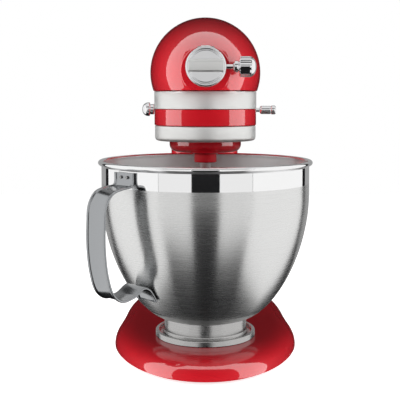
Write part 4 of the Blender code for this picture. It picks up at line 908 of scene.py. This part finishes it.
METAL_SLOTS = {"satin_trim", "chrome", "bowl_steel", "gear_steel", "bearing_bronze", "copper",
               "lamination_steel", "beater_aluminium"}
metals = {turned_steel, handle_steel_painted_dark}
kept = {
    "gear_steel": machined_finish("hobbed_steel", "#a3a29f", 0.30, 900.0),
    "bearing_bronze": machined_finish("sintered_bronze", "#b98a4e", 0.40, 1800.0),
    "copper": machined_finish("wound_copper", "#c0704a", 0.35, 1400.0),
    "chrome": polished,
    "satin_trim": satin,
    "bowl_steel": steel,
    "red_enamel": enamel,
    "beater_aluminium": burnished,
    "lamination_steel": stacked_finish(),
    "black_plastic": moulded_finish("moulded_black_plastic", "#17171a", 0.42, 1200.0, 0.2),
    "rubber": moulded_finish("moulded_rubber", "#1c1c1d", 0.72, 1500.0, 0.35),
}
metals |= {finish for name, finish in kept.items() if name in METAL_SLOTS}
for part in frame["record"]["subparts"]:
    thing = frame["nodes"][part["node"]]
    thing.data.materials.clear()
    thing.data.materials.append(kept[part["material_slot"]])


# The studio: a white table top in a dark room. Enamel and bare metal are lit by their own
# softboxes, as a studio does in two exposures: an arch of three for the enamel, and for the
# metal a white tent, open in front of the lens and dim behind the mixer.
EYE_HEIGHT = 0.268
EYE_DISTANCE = 0.887
EYE_SIDE = -0.0055

lens = bpy.data.cameras.new("camera")
lens.sensor_width = 36.0
lens.lens = 76.3
lens.shift_y = -0.254
camera = bpy.data.objects.new("camera", lens)
camera.location = (EYE_SIDE, AXIS_Y - EYE_DISTANCE, EYE_HEIGHT)
camera.rotation_euler = (math.pi / 2, 0.0, 0.0)
bpy.context.scene.collection.objects.link(camera)
bpy.context.scene.camera = camera
bpy.context.scene.view_settings.view_transform = "Standard"


def group(name, things, state):
    """A set of objects that a lamp reaches, or that it leaves out."""
    made = bpy.data.collections.new(name)
    for thing in things:
        made.objects.link(thing)
    for link in made.collection_objects:
        link.light_linking.link_state = state
    return made


bare = [thing for thing in bpy.context.scene.objects
        if thing.type == "MESH" and thing.material_slots
        and thing.material_slots[0].material in metals]
metal_only = group("lit_metal", bare, "INCLUDE")
all_but_metal = group("unlit_metal", bare, "EXCLUDE")


def softbox(name, place, aim, size, radiance, reached):
    """A rectangular lamp at a place, facing a point, of an even radiance."""
    lamp = bpy.data.lights.new(name, "AREA")
    lamp.shape = "RECTANGLE"
    lamp.size, lamp.size_y = size
    lamp.energy = radiance * math.pi * size[0] * size[1]
    thing = bpy.data.objects.new(name, lamp)
    thing.location = place
    way = Vector(aim) - Vector(place)
    thing.rotation_euler = way.to_track_quat("-Z", "Y").to_euler()
    thing.light_linking.receiver_collection = reached
    bpy.context.scene.collection.objects.link(thing)
    return thing


ARCH_Y = AXIS_Y - 0.30
ARCH_LIGHT = 4.5
ARCH_SIDE_SIZE, ARCH_TOP_SIZE = (0.86, 1.7), (2.0, 0.86)
TENT_SIDE_Y = AXIS_Y - 0.05
TENT_FRONT_X, TENT_FRONT_Y = 1.16, AXIS_Y - 1.6
for side in (-1, 1):
    softbox("arch_side", (side, ARCH_Y, 0.40), (0, ARCH_Y, 0.40), ARCH_SIDE_SIZE, ARCH_LIGHT,
            all_but_metal)
    softbox("tent_side", (side, TENT_SIDE_Y, 0.1), (0, TENT_SIDE_Y, 0.1), (1.62, 2.6), 1.0,
            metal_only)
    softbox("tent_front", (TENT_FRONT_X * side, TENT_FRONT_Y, 0.1),
            (TENT_FRONT_X * side, AXIS_Y, 0.1), (1.5, 2.6), 0.9, metal_only)
arch_top = softbox("arch_top", (0, ARCH_Y, 1.25), (0, ARCH_Y, 0), ARCH_TOP_SIZE, ARCH_LIGHT,
                   all_but_metal)
arch_top.visible_diffuse = False
softbox("tent_crossing", (0, AXIS_Y - 1.5, 0.705), (0, AXIS_Y, 0.705), (0.8, 1.15), 0.65,
        metal_only)
softbox("tent_rear", (0, AXIS_Y + 1.3, 0.4), (0, AXIS_Y, 0.4), (2.4, 1.6), 0.35, metal_only)
softbox("tent_roof", (0, AXIS_Y, 1.5), (0, AXIS_Y, 0), (2.0, 2.0), 0.8, metal_only)

room = bpy.data.worlds.new("room")
room.use_nodes = True
sky = room.node_tree
sky.nodes.clear()
ray = add_node(sky, "ShaderNodeLightPath")
dark = add_node(sky, "ShaderNodeMix", {"data_type": "RGBA"}, Factor=ray.outputs["Is Glossy Ray"],
                _6=(0.4, 0.4, 0.4, 1), _7=(0.012, 0.012, 0.013, 1))
seen = add_node(sky, "ShaderNodeMix", {"data_type": "RGBA"}, Factor=ray.outputs["Is Camera Ray"],
                _6=dark.outputs[2], _7=(1, 1, 1, 1))
glow = add_node(sky, "ShaderNodeBackground", Color=seen.outputs[2])
add_node(sky, "ShaderNodeOutputWorld", Surface=glow.outputs[0])
bpy.context.scene.world = room

floor_mesh = bpy.data.meshes.new("floor")
floor_mesh.from_pydata([(-1.4, -1.4, 0), (1.4, -1.4, 0), (1.4, 1.4, 0), (-1.4, 1.4, 0)], [],
                       [(0, 1, 2, 3)])
floor = bpy.data.objects.new("floor", floor_mesh)
bpy.context.scene.collection.objects.link(floor)
paper, tree, shader, place = new_finish("white_table", Base_Color=linear("#f4f4f4"),
                                        Roughness=0.7, Emission_Strength=0.75)
shader.inputs["Emission Color"].default_value = linear("#ffffff")
floor_mesh.materials.append(paper)
floor.visible_glossy = False
floor.visible_shadow = False
floor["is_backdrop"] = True

low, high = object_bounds()
